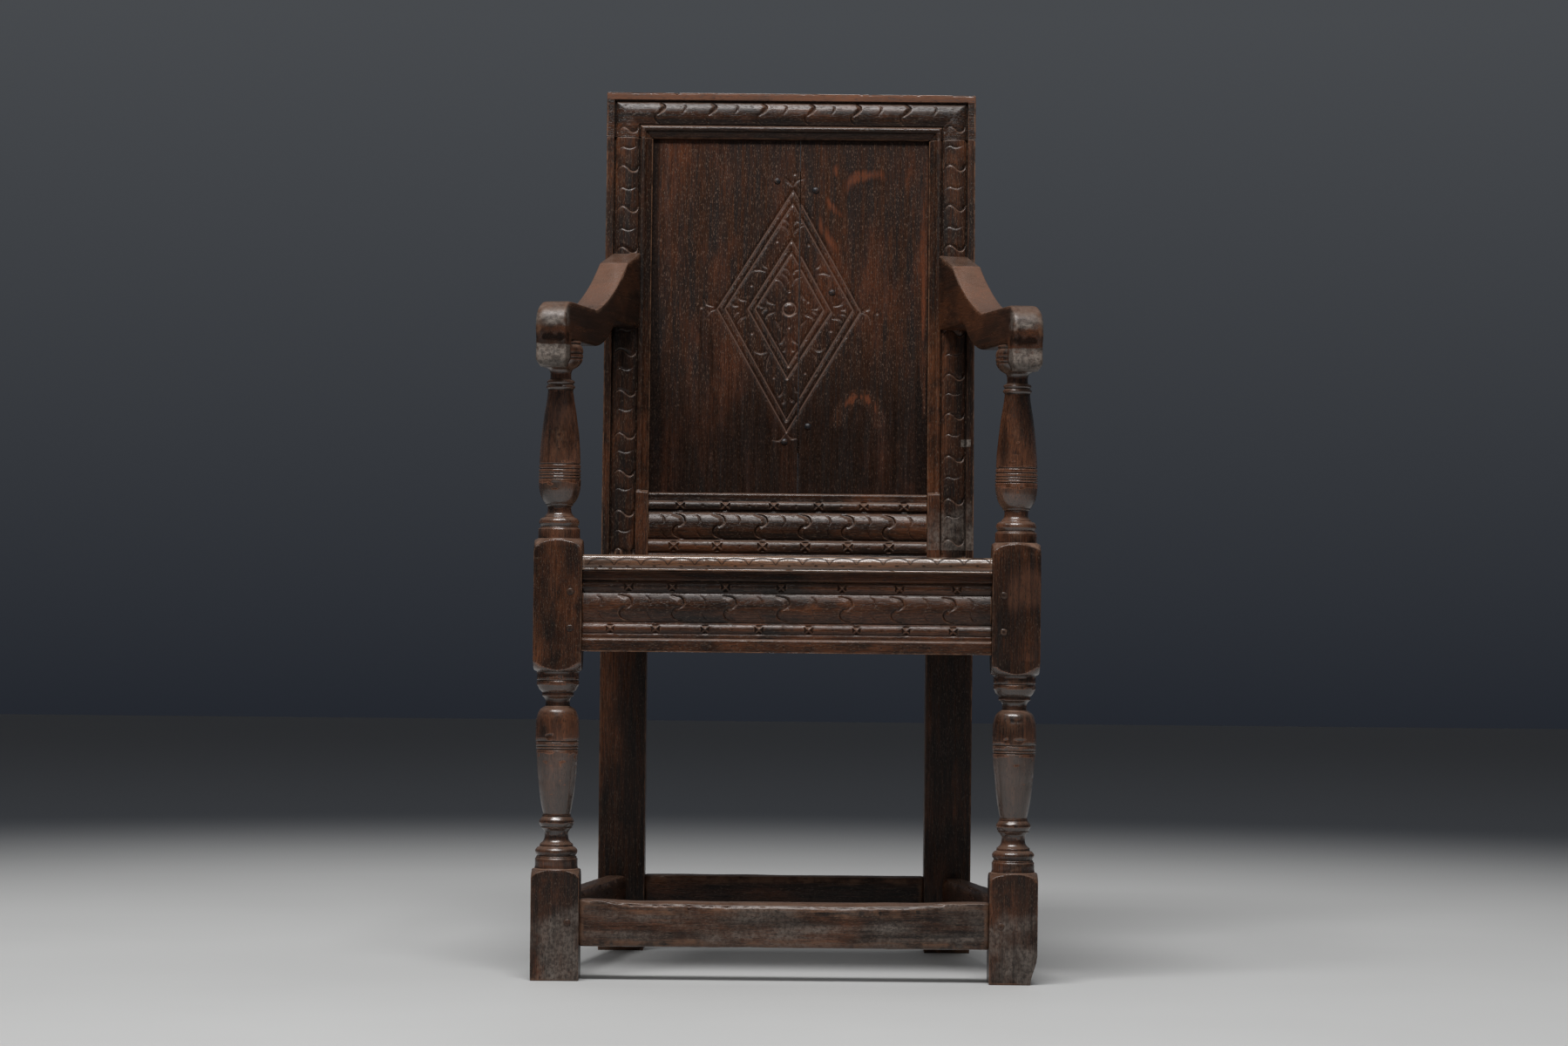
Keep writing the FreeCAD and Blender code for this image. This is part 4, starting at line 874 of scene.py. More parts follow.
def panel_carving(points):
    """The lozenges, curls, dots and roundel, at places given in the photograph's pixels."""
    depth = np.zeros(points.shape[:-1])
    for corners in LOZENGES:
        for start, end in zip(corners, corners[1:] + corners[:1]):
            path = np.linspace(start, end, 9)
            reach = np.full(9, 2.2)
            depth = np.maximum(depth, cut(points, path, reach, reach, np.full(9, 1.8), 1))
    for curl in CURLS:
        depth = np.maximum(depth, line(points, through(curl, 9), 2, 1.1))
    for punch in PUNCHES:
        depth = np.maximum(depth, dot(points, punch, 1.7, 1))
    gap = np.linalg.norm(points - ROUNDEL, axis=-1)
    dome = np.clip((gap - 3) / 4.5, 0, 1) ** 2 * 2.2 * (gap < 7.5)
    rim = np.where(gap >= 7.5, 2.2 * np.clip(1 - (gap - 7.5) / 1.3, 0, 1), 0)
    return np.maximum(depth, dome + rim)


def panel_wear(grid):
    """The panel's red flames of figure, its dark stain, painted shadow with dirt under the crest,
    painted shade with dirt along its sides beside the stiles, and a colour darker towards its foot.
    """
    pixels = pixels_of(raked(grid))
    ragged = 0.75 + 0.45 * noise(grid, (1.8, 3, 24), 6) + 0.3 * noise(grid, (4, 3, 50), 7)
    fade = np.sin(np.linspace(0.08, 0.92, 13) * math.pi)

    def strokes(rows):
        reaches = ((through(path, 13), np.full(13, 2.1 * reach)) for path, reach in rows)
        return ragged * sum(cut(pixels, path, reach, reach, fade, 1) for path, reach in reaches)

    flames, stains_and_shadow = strokes(FLAMES), strokes(STAINS_AND_SHADOW)
    # Painted shade with dirt along the sides next to the stiles
    margin = smooth(POST_INNER - 20 + 5 * noise(grid, 30, 2), 0, 18)
    beside = smooth(np.abs(grid[..., 0]), POST_INNER - 17, POST_INNER - 2) * 0.75 * margin
    # Darker towards the foot
    low = smooth(430 - grid[..., 2], 0, 300) * 0.62
    figure = 1.25 * flames - (0.4 * stains_and_shadow + beside + low) * (1 - np.clip(2 * flames, 0, 1))
    return np.minimum(figure, 1) * (grid[..., 1] < PANEL_FRONT + 3)


def partly_fine(low, fine_low, fine_high, high):
    """Places from low to high that are close together only between the fine ones."""
    fine_low, fine_high = max(low, fine_low), min(high, fine_high)
    runs = ((low, fine_low, COARSE), (fine_low, fine_high, FINE), (fine_high, high, COARSE))
    places = [spread(start, end, step)[1:] for start, end, step in runs if end > start]
    return np.concatenate([[low], *places])


def panel_board(low, high):
    """One board of the panel, with fine rings only where it is carved."""
    carved_left, carved_high = back_at_pixel(*CARVED_LOW, PANEL_FRONT)
    carved_right, carved_low = back_at_pixel(*CARVED_HIGH, PANEL_FRONT)
    bottom = LOWER_RAIL_HIGH - PANEL_GROOVE + JOINT_CLEARANCE
    top = STILE_TOP + PANEL_GROOVE - JOINT_CLEARANCE
    up = partly_fine(bottom, carved_low, carved_high, top)
    face = partly_fine(low, carved_left, carved_right, high)
    across, high = np.meshgrid(face, up, indexing="xy")
    surface = raked(np.stack([across, np.full(high.shape, float(PANEL_FRONT)), high], -1))
    depths = panel_carving(pixels_of(surface))
    across, deep = faced(face, depths + PANEL_FRONT, PANEL_BACK, 4, 8)
    return np.stack([across, deep, on_rings(up, across)], -1)


# The battens across the panel's back: how far up it they lie, half their height, their thickness
# and how far they reach from the joint between its boards
CLEATS = (("upper", 464), ("lower", 150))
CLEAT_HALF = 22
CLEAT_THICKNESS = 14
CLEAT_REACH = 118


def cleat(up):
    """A batten across the back of the joint between the panel's boards."""
    low, high = (PANEL_BACK, up - CLEAT_HALF), (PANEL_BACK + CLEAT_THICKNESS, up + CLEAT_HALF)
    along = spread(PANEL_SEAM - CLEAT_REACH, PANEL_SEAM + CLEAT_REACH, 3)
    return extruded(along, bevelled(low, high, 1.5, 4))


# The seat and what carries it


def seat_rail_across(pixel):
    return at_pixel(pixel, SEAT_ROW, FRONT + RAIL_SETBACK)[0]


def seat_rail_gouges(places):
    """The front seat rail's gouges, at places across and up its face."""
    up = RAIL_TOP - SEAT_GOUGE_SHARE * (RAIL_TOP - RAIL_BOTTOM)
    return gouge_row(
        places, SEAT_GOUGES, lambda x: (seat_rail_across(x), up), SEAT_HALF, RAIL_FIGURE,
        share=0.8,
    )


def front_seat_rail():
    """The moulded and carved rail under the seat's front."""
    front = FRONT + RAIL_SETBACK
    return carved_rail(
        spread(-LEG_INNER, LEG_INNER, 0.88), SEAT_RAIL_SHARES, RAIL_TOP, RAIL_TOP - RAIL_BOTTOM,
        seat_rail_gouges, SEAT_CROSSES, SEAT_DOTS, seat_rail_across,
        front, front + RAIL_THICKNESS, (6, 12),
    )


# The seat's nosing: the middles of its small arches and the row of their dots, in pixels, and one
# arch's outline, across from its middle and down the photograph
NOSING_ARC_PIXELS = tuple(689 + 30.9 * number for number in range(15))
NOSING_DOT_ROW = 649.5
NOSING_ARCH = (
    (-15, 648), (-11.5, 643.2), (-6, 641.4), (0, 640.8), (6, 641.4), (11.5, 643.2), (15, 648),
)
NOSING_DEEP = FRONT + 7.5


def nosing_carving(points):
    """The row of small arches and dots along the seat's front edge, at the photograph's pixels."""
    depth = np.zeros(points.shape[:-1])
    for middle in NOSING_ARC_PIXELS:
        arch = [(middle + gap, row) for gap, row in NOSING_ARCH]
        depth = np.maximum(depth, line(points, through(arch, 17), 2.3, 1))
        flattened = (points - (middle, NOSING_DOT_ROW)) * (0.5, 1)
        depth = np.maximum(depth, dot(flattened, (0, 0), 1.2, 0.8))
    return depth


def nosing_shade_and_dirt(grid):
    """The painted shade and dirt that darken the nosing's carving."""
    return np.minimum(2.2 * nosing_carving(pixels_of(grid)), 1) * (grid[..., 1] < NOSING_DEEP)


def seat_wear(grid):
    """The boards, polished by sitting, and most of all along the nosing."""
    nose = 0.22 * smooth(FRONT + 10 - grid[..., 1], 0, 8)
    return nose + 0.2 + 0.12 * noise(grid, (90, 40, 20), 11)


def front_seat_board():
    """The front board: nosed between the legs, and notched round them."""
    thickness = SEAT_TOP - RAIL_TOP
    notch_across = LEG_INNER - JOINT_CLEARANCE
    notch_deep = LEG_REAR + JOINT_CLEARANCE
    nose = trace(
        (
            (FRONT + 7, RAIL_TOP), (FRONT + 1, RAIL_TOP), (FRONT + 0.3, RAIL_TOP + 0.6),
            (FRONT + 0.3, RAIL_TOP + 2.2), (FRONT + 1.6, RAIL_TOP + 3),
            (FRONT + 0.2, RAIL_TOP + 7.5, 0.12), (FRONT + 1.6, SEAT_TOP - 4.5, 0.1),
            (FRONT + 8, SEAT_TOP, 0.2),
        ),
        0.7,
    )
    under = [(deep, RAIL_TOP) for deep in spread(SEAM_DEEP, FRONT + 7, 6)[:-1]]
    over = [(deep, SEAT_TOP) for deep in spread(FRONT + 8, SEAM_DEEP, 6)[1:]]
    behind = [(SEAM_DEEP, up) for up in spread(SEAT_TOP, RAIL_TOP, thickness / 5)[1:-1]]
    along = spread(-notch_across, notch_across, 0.75)
    grid = oriented(extruded(along, np.concatenate([under, nose, over, behind])))
    # The arches are cut shallow; their dark lines are painted shade with dirt
    depth = 0.2 * nosing_carving(pixels_of(grid)) * (grid[..., 1] < NOSING_DEEP)
    grid = grid - outward(grid) * depth[..., None]
    return winged(grid, notch_across, notch_deep, LEG_OUTER, notch_deep, SEAM_ACROSS, SEAM_DEEP)


def winged(grid, notch_across, wall, start_across, start_deep, end_across, end_deep):
    """Adds the parts beside the notches: rings that close up to the notch's wall and slide over to
    the board's slanted side, which runs between two points."""
    edge = grid[-1].copy()
    if wall < edge[:, 1].mean():
        edge[:, 1] = np.maximum(edge[:, 1], wall)
    else:
        edge[:, 1] = np.minimum(edge[:, 1], wall)
    slant = (edge[:, 1] - start_deep) / (end_deep - start_deep)
    side = start_across + (end_across - start_across) * slant
    shares = spread(0, 1, 0.08)[:, None]
    right = np.tile(edge, (len(shares), 1, 1))
    right[..., 0] = notch_across + (side - notch_across) * shares
    left = right[::-1] * (-1, 1, 1)
    return np.concatenate([left, grid, right])


def rear_seat_board():
    """The rear board, notched round the posts."""
    notch_across = POST_INNER - JOINT_CLEARANCE
    notch_deep = POST_FRONT - JOINT_CLEARANCE
    low = cad("seat_board_rear", 0, 1)
    ring = bevelled((low, RAIL_TOP), (BACK, SEAT_TOP), 1.2, 6)
    grid = extruded(spread(-notch_across, notch_across, 4), ring)
    return winged(grid, notch_across, notch_deep, SEAM_ACROSS, low, POST_OUTER, notch_deep)


def beam(start, end, low, high):
    """A plain rail or stretcher between two points in plan."""
    start, end = np.array(start, float), np.array(end, float)
    run = end - start
    across_axis = 1 if abs(run[0]) > abs(run[1]) else 0
    ring = bevelled((-RAIL_THICKNESS / 2, low), (RAIL_THICKNESS / 2, high), 2.5, 3.5)
    share = spread(0, 1, 2.5 / np.hypot(*run))[:, None]
    grid = np.empty((len(share), len(ring), 3))
    grid[..., :2] = (start + run * share)[:, None]
    grid[..., across_axis] += ring[:, 0]
    grid[..., 2] = ring[:, 1]
    return grid


def rear_beam(low, high):
    """A rail or stretcher between the rear posts."""
    return beam((-POST_INNER, POST_MIDDLE), (POST_INNER, POST_MIDDLE), low, high)


def footworn_stretcher():
    """The front stretcher, whose upper front arris feet have rubbed down into a long dip."""
    deep = FRONT + RAIL_SETBACK
    middle = deep + RAIL_THICKNESS / 2
    grid = beam((-LEG_INNER, middle), (LEG_INNER, middle), STRETCHER_BOTTOM, STRETCHER_TOP)
    along = grid[..., 0]
    dip = 9 * smooth(LEG_INNER - np.abs(along + 12), 14, 90) * (0.8 + 0.25 * noise(grid, 60, 3))
    corner = (STRETCHER_TOP - grid[..., 2]) + (grid[..., 1] - deep)
    taken = np.clip(dip - corner, 0, None) / 2
    grid[..., 1] += taken
    grid[..., 2] -= taken
    grid[..., 2] -= 0.25 * dip * smooth(grid[..., 2], STRETCHER_TOP - 12, STRETCHER_TOP)
    return grid


def stretcher_wear(grid):
    """The front stretcher, scuffed bare by feet."""
    return -0.47 - 0.2 * noise(grid, (40, 9, 9), 21)


# Arms


# The scroll's outline, from the arm's top round its roll, in under it and down its lip
SCROLL = (
    (-20, 780), (-30, 780), (-40, 779.2), (-50, 776.2), (-59.5, 770), (-65.5, 760.5), (-67.6, 750),
    (-66.6, 742), (-63.6, 735.5), (-61.4, 729.5), (-61.6, 723), (-62.8, 716), (-61.8, 709.5),
    (-58, 705.2), (-52, 703.9),
)
# Places along the arm's top, and under it, that face one another
ARM_TOP_STOPS = (
    (417, 868.1), (327, 849), (132, 780), (-20, 780), (-40, 779.2), (-61.4, 729.5), (-52, 703.9),
)
ARM_BOTTOM_STOPS = (
    (406, 773), (300, 773), (128, 736), (-20, 736), (-28.2, 735.9), (-28.2, 727), (-28.2, 704),
)


def arm():
    """The left arm in its own frame: the origin is on the leg's axis, and Y runs back along it."""
    rise = trace(((417, 868.1), (327, 849), (132, ARM_TOP, 0.04), (-20, ARM_TOP)), 1.5)
    top = np.concatenate([rise, through(SCROLL, 100)[1:]])
    bottom = trace(((406, 773), (250, 773), (128, 736, 0.06), (-28.2, 736), (-28.2, 704)), 1.5)

    def marks(points, stops):
        travel = np.concatenate([[0], np.cumsum(np.hypot(*np.diff(points, axis=0).T))])
        gaps = (np.hypot(*(points - stop).T) for stop in np.array(stops, float))
        return travel, [travel[gap.argmin()] for gap in gaps]

    top_travel, top_marks = marks(top, ARM_TOP_STOPS)
    bottom_travel, bottom_marks = marks(bottom, ARM_BOTTOM_STOPS)
    paired = np.interp(top_travel, top_marks, bottom_marks)
    base = np.stack([np.interp(paired, bottom_travel, bottom[:, axis]) for axis in (0, 1)], -1)
    thick = top - base
    height = np.linalg.norm(thick, axis=1)[:, None]
    ways = (thick / height)[:, None]
    half = ARM_WIDTH / 2 - 3.5 * smooth(712 - top[:, 1:], 0, 8)
    rolling = smooth(-top[:, :1], 12, 48)
    outer = 2.5 + 6 * rolling - 4 * smooth(742 - top[:, 1:], 0, 14)
    inner = 2.5 + 0.7 * rolling
    small = 2.5
    turn = np.linspace(0, math.pi / 2, 7)
    flat = np.linspace(-1, 1, 15)[1:-1]
    side = np.linspace(0, 1, 15)[1:-1]
    inside = height - inner + (small - height + inner) * side
    outside = height - outer + (small - height + outer) * side
    foot = small - small * np.sin(turn) + 0 * height
    runs = (
        (outer - half - outer * np.sin(turn[::-1]), height - outer * (1 - np.cos(turn[::-1]))),
        (outer - half + (2 * half - outer - inner) * (flat + 1) / 2, height + 0 * flat),
        (half - inner + inner * np.sin(turn), height - inner * (1 - np.cos(turn))),
        (half + 0 * inside, inside),
        (half - small + small * np.cos(turn), foot),
        ((small - half) * flat, 0 * height + 0 * flat),
        (small - half - small * np.sin(turn), foot[:, ::-1]),
        (-half + 0 * outside, outside[:, ::-1]),
    )
    across, reach = (np.concatenate(parts, 1) for parts in zip(*runs))
    return np.concatenate([across[..., None], base[:, None] + ways * reach[..., None]], -1)


def arm_place(grid, side):
    """Turns an arm in about its leg, so that it meets the post."""
    cos, sin = math.cos(ARM_SPLAY), math.sin(ARM_SPLAY)
    across, along = grid[..., 0], grid[..., 1]
    turned_across = across * cos + along * sin - LEG_ACROSS
    turned_deep = along * cos - across * sin + LEG_DEEP
    return np.stack([-side * turned_across, turned_deep, grid[..., 2]], -1)


def arm_wear(grid):
    """The arms' tops and rolls, polished by hands, and their dry and pitted lips."""
    along, up = grid[..., 1], grid[..., 2]
    ahead = smooth(-along, 22, 50)
    roll = ahead * smooth(up, 742, 754) * (0.62 + 0.2 * noise(grid, 6, 13))
    lip = ahead * smooth(732 + noise(grid, 9, 4) - up, 0, 3.5) * (0.9 + 0.4 * noise(grid, 5, 14))
    top = smooth(outward(grid)[..., 2], 0.5, 0.9) * (1 - ahead)
    tone = 0.68 - 0.5 * smooth(along, 326, 330) + 0.5 * bump(along, 325, 3)
    tone = tone + 0.3 * noise(grid, (14, 30, 30), 9) + 0.15 * noise(grid, 5, 10)
    return np.clip(top * tone, 0, 1) - roll - lip


def arm_roll_shade(grid):
    """Painted shade in the band under an arm's roll, where its face turns down."""
    ahead = smooth(-grid[..., 1], 30, 50)
    return ahead * bump(grid[..., 2], 738, 11) * (0.6 + 0.4 * noise(grid, 6, 18))


# Pegs and nails


# How a peg tapers: places along it, from its proud end, and its size there as a share
PEG_HEAD = ((0.05, 0.35), (0.15, 0.7), (0.5, 0.9), (1.2, 0.98), (4, 1))


def peg(place, way, length, seed, size=PEG_SIZE, proud=PEG_PROUD):
    """A whittled peg, driven in at a place on the wood's face."""
    way = np.array(way, float)
    start = place - way * proud
    first = np.cross(way, (0, 0, 1) if abs(way[2]) < 0.9 else (1, 0, 0))
    first /= np.linalg.norm(first)
    second = np.cross(way, first)
    random = np.random.default_rng(seed)
    angles = np.linspace(0, 2 * math.pi, 17)[:-1]
    facets = size / 2 * (0.95 + 0.05 * np.cos(angles * 4 + random.uniform(0, 3)))
    ring = np.cos(angles)[:, None] * first + np.sin(angles)[:, None] * second
    rows = (*PEG_HEAD, (length * 0.6, 0.97), (length, 0.7))
    return np.array(
        [start + way * travel + ring * (facets * share)[:, None] for travel, share in rows]
    )


def both(grids):
    """Grids and their right-hand twins."""
    return grids + [grid * (-1, 1, 1) for grid in grids]


# The panel's nails: places across and along the raked back, and lengths
NAILS = ((-17, 470, 25), (31.5, 458.5, 25), (53, 329, 11), (24, 159.5, 25), (-5, 140, 25))


def nail(across, up, length):
    """A hand-forged nail: a faceted rose head on a square shank."""
    random = np.random.default_rng(round(up))
    angles = np.arange(10) * 2 * math.pi / 10 + random.uniform(0, 1)
    rough = random.uniform(0.86, 1, 10)
    grid = np.empty((6, 10, 3))
    rows = ((-1.95, 1.3), (-1.2, 3.6), (-0.35, 4.7), (-0.05, 4.6), (0.1, 1.6), (length, 0.8))
    for ring, (travel, radius) in zip(grid, rows):
        reach = radius * np.where(radius > 2, rough, 1)
        ring[:, 0] = across + np.cos(angles) * reach
        ring[:, 1] = PANEL_FRONT + travel
        ring[:, 2] = up + np.sin(angles) * reach
    return raked(grid)


# Materials


class Tree:
    """Builds the nodes of a material or a world."""

    def __init__(self, owner):
        owner.use_nodes = True
        self.owner = owner
        self.nodes = owner.node_tree.nodes

    def feed(self, node, inputs):
        for key, value in inputs.items():
            socket = node.inputs[key]
            if isinstance(value, bpy.types.NodeSocket):
                self.owner.node_tree.links.new(value, socket)
            else:
                socket.default_value = (*value, 1) if socket.type == "RGBA" else value

    def add(self, kind, inputs, output=0, **settings):
        node = self.nodes.new(f"ShaderNode{kind}")
        for name, value in settings.items():
            setattr(node, name, value)
        self.feed(node, inputs)
        return node.outputs[output]

    def paint(self, inputs):
        self.feed(self.nodes["Principled BSDF"], inputs)
        return self.owner

    def attribute(self, name, output="Fac"):
        return self.add("Attribute", {}, output, attribute_name=name)

    def noise(self, place, scale, detail, roughness, stretch=None, distortion=0):
        if stretch:
            place = self.add("VectorMath", {0: place, 1: stretch}, operation="MULTIPLY")
        inputs = {"Vector": place, "Scale": scale, "Detail": detail, "Roughness": roughness}
        return self.add("TexNoise", {**inputs, "Distortion": distortion}, "Fac")

    def ramp(self, value, low, high, to_low=0, to_high=1, curve="SMOOTHSTEP"):
        inputs = {"Value": value, "From Min": low, "From Max": high}
        inputs |= {"To Min": to_low, "To Max": to_high}
        return self.add("MapRange", inputs, interpolation_type=curve)

    def joined(self, operation, first, *others):
        for other in others:
            first = self.add("Math", {0: first, 1: other}, operation=operation)
        return first

    def product(self, *values):
        return self.joined("MULTIPLY", *values)

    def mixed(self, share, first, second):
        return self.add("Mix", {0: share, 6: first, 7: second}, 2, data_type="RGBA")

    def scaled(self, colour, factor):
        return self.add("VectorMath", {0: colour, "Scale": factor}, operation="SCALE")

    def bump(self, height, strength, distance):
        return self.add("Bump", {"Height": height, "Strength": strength, "Distance": distance})


def oak(
    slot, deep, plain, warm, edge_tone, rubbed_tone, bare_shade_and_sheen_tone, lit_and_dusty_ledge_tone, grime_and_hollow_shade, dust,
    hollow=None, roughness=0.32, gloss=0.27, fleck=0.4, lit=0, smudge=0.75, relief=0.35,
    streaky=0.2, dry=1,
):
    """Old oak: streaks and open pores along the grain, dirt with painted shade in the hollows and
    dirt in blotches, paler wood on the arrises, wherever it is rubbed, and where it is bare,
    painted top light on what faces up, and a painted grey sheen where it is most polished."""
    tree = Tree(bpy.data.materials.new(slot))
    ramp, mixed, product, joined = tree.ramp, tree.mixed, tree.product, tree.joined
    grain = tree.attribute("grain", "Vector")
    proud, wear_and_painted_light = tree.attribute("proud"), tree.attribute("wear_and_painted_light")
    streak = tree.noise(grain, 7.5, 6, 0.66, (1, 26, 26), 0.3)
    fine = tree.noise(grain, 40, 3, 0.6, (1, 26, 26))
    patch = tree.noise(grain, 9, 5, 0.62, (0.5, 1.5, 1.5))
    blotch = tree.noise(grain, 27, 4, 0.65, (0.6, 1, 1))
    breaks = tree.noise(grain, 55, 3, 0.6)
    pores = ramp(tree.noise(grain, 170, 2, 0.5, (1, 7, 7)), 0.57, 0.66)
    speck = tree.noise(grain, 260, 1, 0.5, (1, 4, 4))
    pitted = ramp(tree.noise(grain, 240, 4, 0.65), 0.38, 0.6, 0.45, 1.15)
    # The wood itself
    tone = mixed(ramp(streak, 0.36, 0.66), deep, plain)
    tone = mixed(ramp(patch, 0.46, 0.66, 0, 0.95), tone, warm)
    tone = mixed(ramp(blotch, 0.53, 0.66, 0, smudge), tone, deep)
    tone = tree.scaled(tone, ramp(fine, 0.3, 0.7, 0.5, 1.55))
    # Where it is polished, rubbed or bare, and above 1 a painted grey sheen for reflected light
    polish_and_painted_sheen = ramp(wear_and_painted_light, 1, 1.25)
    rubbed = ramp(joined("ADD", wear_and_painted_light, product(streak, 0.5)), 0.5, 1.15, 0, 0.85)
    tone = mixed(product(rubbed, ramp(polish_and_painted_sheen, 0, 1, 1, 0.1)), tone, rubbed_tone)
    torn = tree.add("Mix", {0: streaky, 2: breaks, 3: streak})
    # On the panel the bare tone is dark, so there bare paints its stain and dirt together with
    # painted shadow and painted shade
    bare = ramp(joined("SUBTRACT", product(torn, 0.8), wear_and_painted_light), 0.7, 1.2, 0, 0.9)
    tone = mixed(bare, tone, tree.scaled(bare_shade_and_sheen_tone, pitted))
    # Painted reflection: the most polished parts are greyed a little towards the pale floor they
    # reflect
    tone = mixed(product(polish_and_painted_sheen, 0.12), tone, bare_shade_and_sheen_tone)
    # Dark dirt in the pores, dirt with painted shade in the hollows, and pale arrises
    tone = mixed(product(pores, 0.7), tone, grime_and_hollow_shade)
    # Painted shade with dirt: points that lie below their neighbours are darkened, most of all in
    # quirks and gouges
    recess = ramp(proud, -0.45, -0.05, 1, 0)
    tone = mixed(product(recess, 0.78), tone, hollow or grime_and_hollow_shade)
    rough_proud = joined("ADD", proud, ramp(fine, 0.3, 0.7, -0.08, 0.06))
    edge = product(ramp(rough_proud, 0.1, 0.42), ramp(breaks, 0.38, 0.6, 0.15, 0.8))
    kept = product(ramp(wear_and_painted_light, 0.1, 0.4, 1, 0.35), ramp(bare, 0.1, 0.6, 1, 0.3))
    tone = mixed(product(edge, kept), tone, edge_tone)
    # Painted top light with pale dust on what faces up, paler still on the upward walls of hollows,
    # and flecks all over
    facing = tree.add("SeparateXYZ", {0: tree.add("NewGeometry", {}, "Normal")}, "Z")
    lit_and_dusty_ledge = product(ramp(facing, 0.2, 0.75), ramp(torn, 0.3, 0.6, 0.3, 0.75))
    # In hollows the painted top light is scaled by lit, so that their upward walls read as lit,
    # pale walls
    lit_and_dusty_ledge = product(lit_and_dusty_ledge, ramp(recess, 0, 0.6, 1, lit))
    tone = mixed(lit_and_dusty_ledge, tone, tree.scaled(lit_and_dusty_ledge_tone, ramp(recess, 0, 0.6, 1, 1.4)))
    tone = mixed(product(ramp(speck, 0.6, 0.7, 0, fleck), kept), tone, dust)
    sheen = product(
        ramp(recess, 0, 0.7, gloss, gloss * 0.25), ramp(wear_and_painted_light, 0.1, 0.4, 1, 2),
        ramp(bare, 0, 0.8, 1, dry), ramp(polish_and_painted_sheen, 0, 1, 1, 1.5),
    )
    shine = ramp(streak, 0.3, 0.7, roughness + 0.07, roughness - 0.07)
    shine = joined("SUBTRACT", shine, ramp(wear_and_painted_light, 0.1, 0.35, 0, 0.09))
    duller = (product(recess, 0.15), product(pores, 0.08), product(bare, 0.1))
    shine = joined("ADD", shine, *duller)
    height = joined("ADD", product(fine, 0.4), product(streak, 0.5))
    height = joined("SUBTRACT", height, product(pores, 0.45))
    normal = tree.bump(height, product(kept, relief), 0.0007)
    shader = {"Base Color": tone, "Specular IOR Level": sheen, "Roughness": shine}
    return tree.paint({**shader, "Normal": normal})


def iron(slot):
    """Dull forged iron with a little rust."""
    tree = Tree(bpy.data.materials.new(slot))
    place = tree.attribute("grain", "Vector")
    rust = tree.ramp(tree.noise(place, 260, 4, 0.6), 0.45, 0.65)
    tone = tree.mixed(rust, (0.02, 0.02, 0.022), (0.055, 0.028, 0.018))
    shine = tree.ramp(rust, 0, 1, 0.42, 0.7)
    normal = tree.bump(tree.noise(place, 700, 3, 0.6), 0.5, 0.0005)
    return tree.paint({"Base Color": tone, "Roughness": shine, "Metallic": 0.7, "Normal": normal})


# Each oak's tones, in the order deep, plain, warm, edge, rubbed, bare with painted sheen (on the
# panel dark, for stain and painted shade), lit ledge with dust, dirt with painted hollow shade, and
# dust, and then how it departs from oak's other looks
OAKS = {
    "frame_oak": (
        (0.0085, 0.005, 0.0036), (0.0295, 0.0118, 0.006), (0.073, 0.0255, 0.0105),
        (0.13, 0.064, 0.036), (0.18, 0.08, 0.047), (0.14, 0.117, 0.1),
        (0.1, 0.058, 0.04), (0.0055, 0.004, 0.0034), (0.12, 0.085, 0.06),
        {"lit": 1.4, "streaky": 0.6},
    ),
    "panel_oak": (
        (0.0095, 0.0052, 0.0037), (0.0315, 0.0122, 0.0058), (0.053, 0.0165, 0.0066),
        (0.075, 0.042, 0.028), (0.1, 0.03, 0.0125), (0.0072, 0.0043, 0.0032),
        (0.15, 0.098, 0.075), (0.006, 0.0042, 0.0036), (0.11, 0.066, 0.045),
        {"hollow": (0.1, 0.06, 0.046), "roughness": 0.3, "gloss": 0.25, "fleck": 0.7, "lit": 1.3,
         "smudge": 0.4, "relief": 0.28, "streaky": 0.85, "dry": 0.3},
    ),
    "seat_oak": (
        (0.028, 0.0155, 0.01), (0.072, 0.036, 0.0215), (0.105, 0.043, 0.019),
        (0.2, 0.13, 0.09), (0.2, 0.135, 0.1), (0.2, 0.15, 0.11),
        (0.15, 0.1, 0.07), (0.011, 0.0075, 0.006), (0.2, 0.15, 0.11),
        {"roughness": 0.29, "smudge": 0.25, "relief": 0.2, "streaky": 0.9},
    ),
    "hidden_oak": (
        (0.03, 0.018, 0.012), (0.065, 0.042, 0.03), (0.085, 0.05, 0.033),
        (0.14, 0.1, 0.07), (0.1, 0.07, 0.05), (0.15, 0.12, 0.09),
        (0.12, 0.09, 0.07), (0.012, 0.008, 0.006), (0.15, 0.11, 0.08),
        {"roughness": 0.62},
    ),
    "peg_oak": (
        (0.01, 0.006, 0.0045), (0.03, 0.015, 0.0095), (0.045, 0.019, 0.011),
        (0.06, 0.034, 0.023), (0.08, 0.05, 0.035), (0.12, 0.09, 0.07),
        (0.07, 0.042, 0.029), (0.006, 0.0045, 0.0038), (0.1, 0.066, 0.046),
        {},
    ),
}
MATERIALS = {slot: oak(slot, *tones, **looks) for slot, (*tones, looks) in OAKS.items()}
MATERIALS["wrought_iron"] = iron("wrought_iron")


# The chair


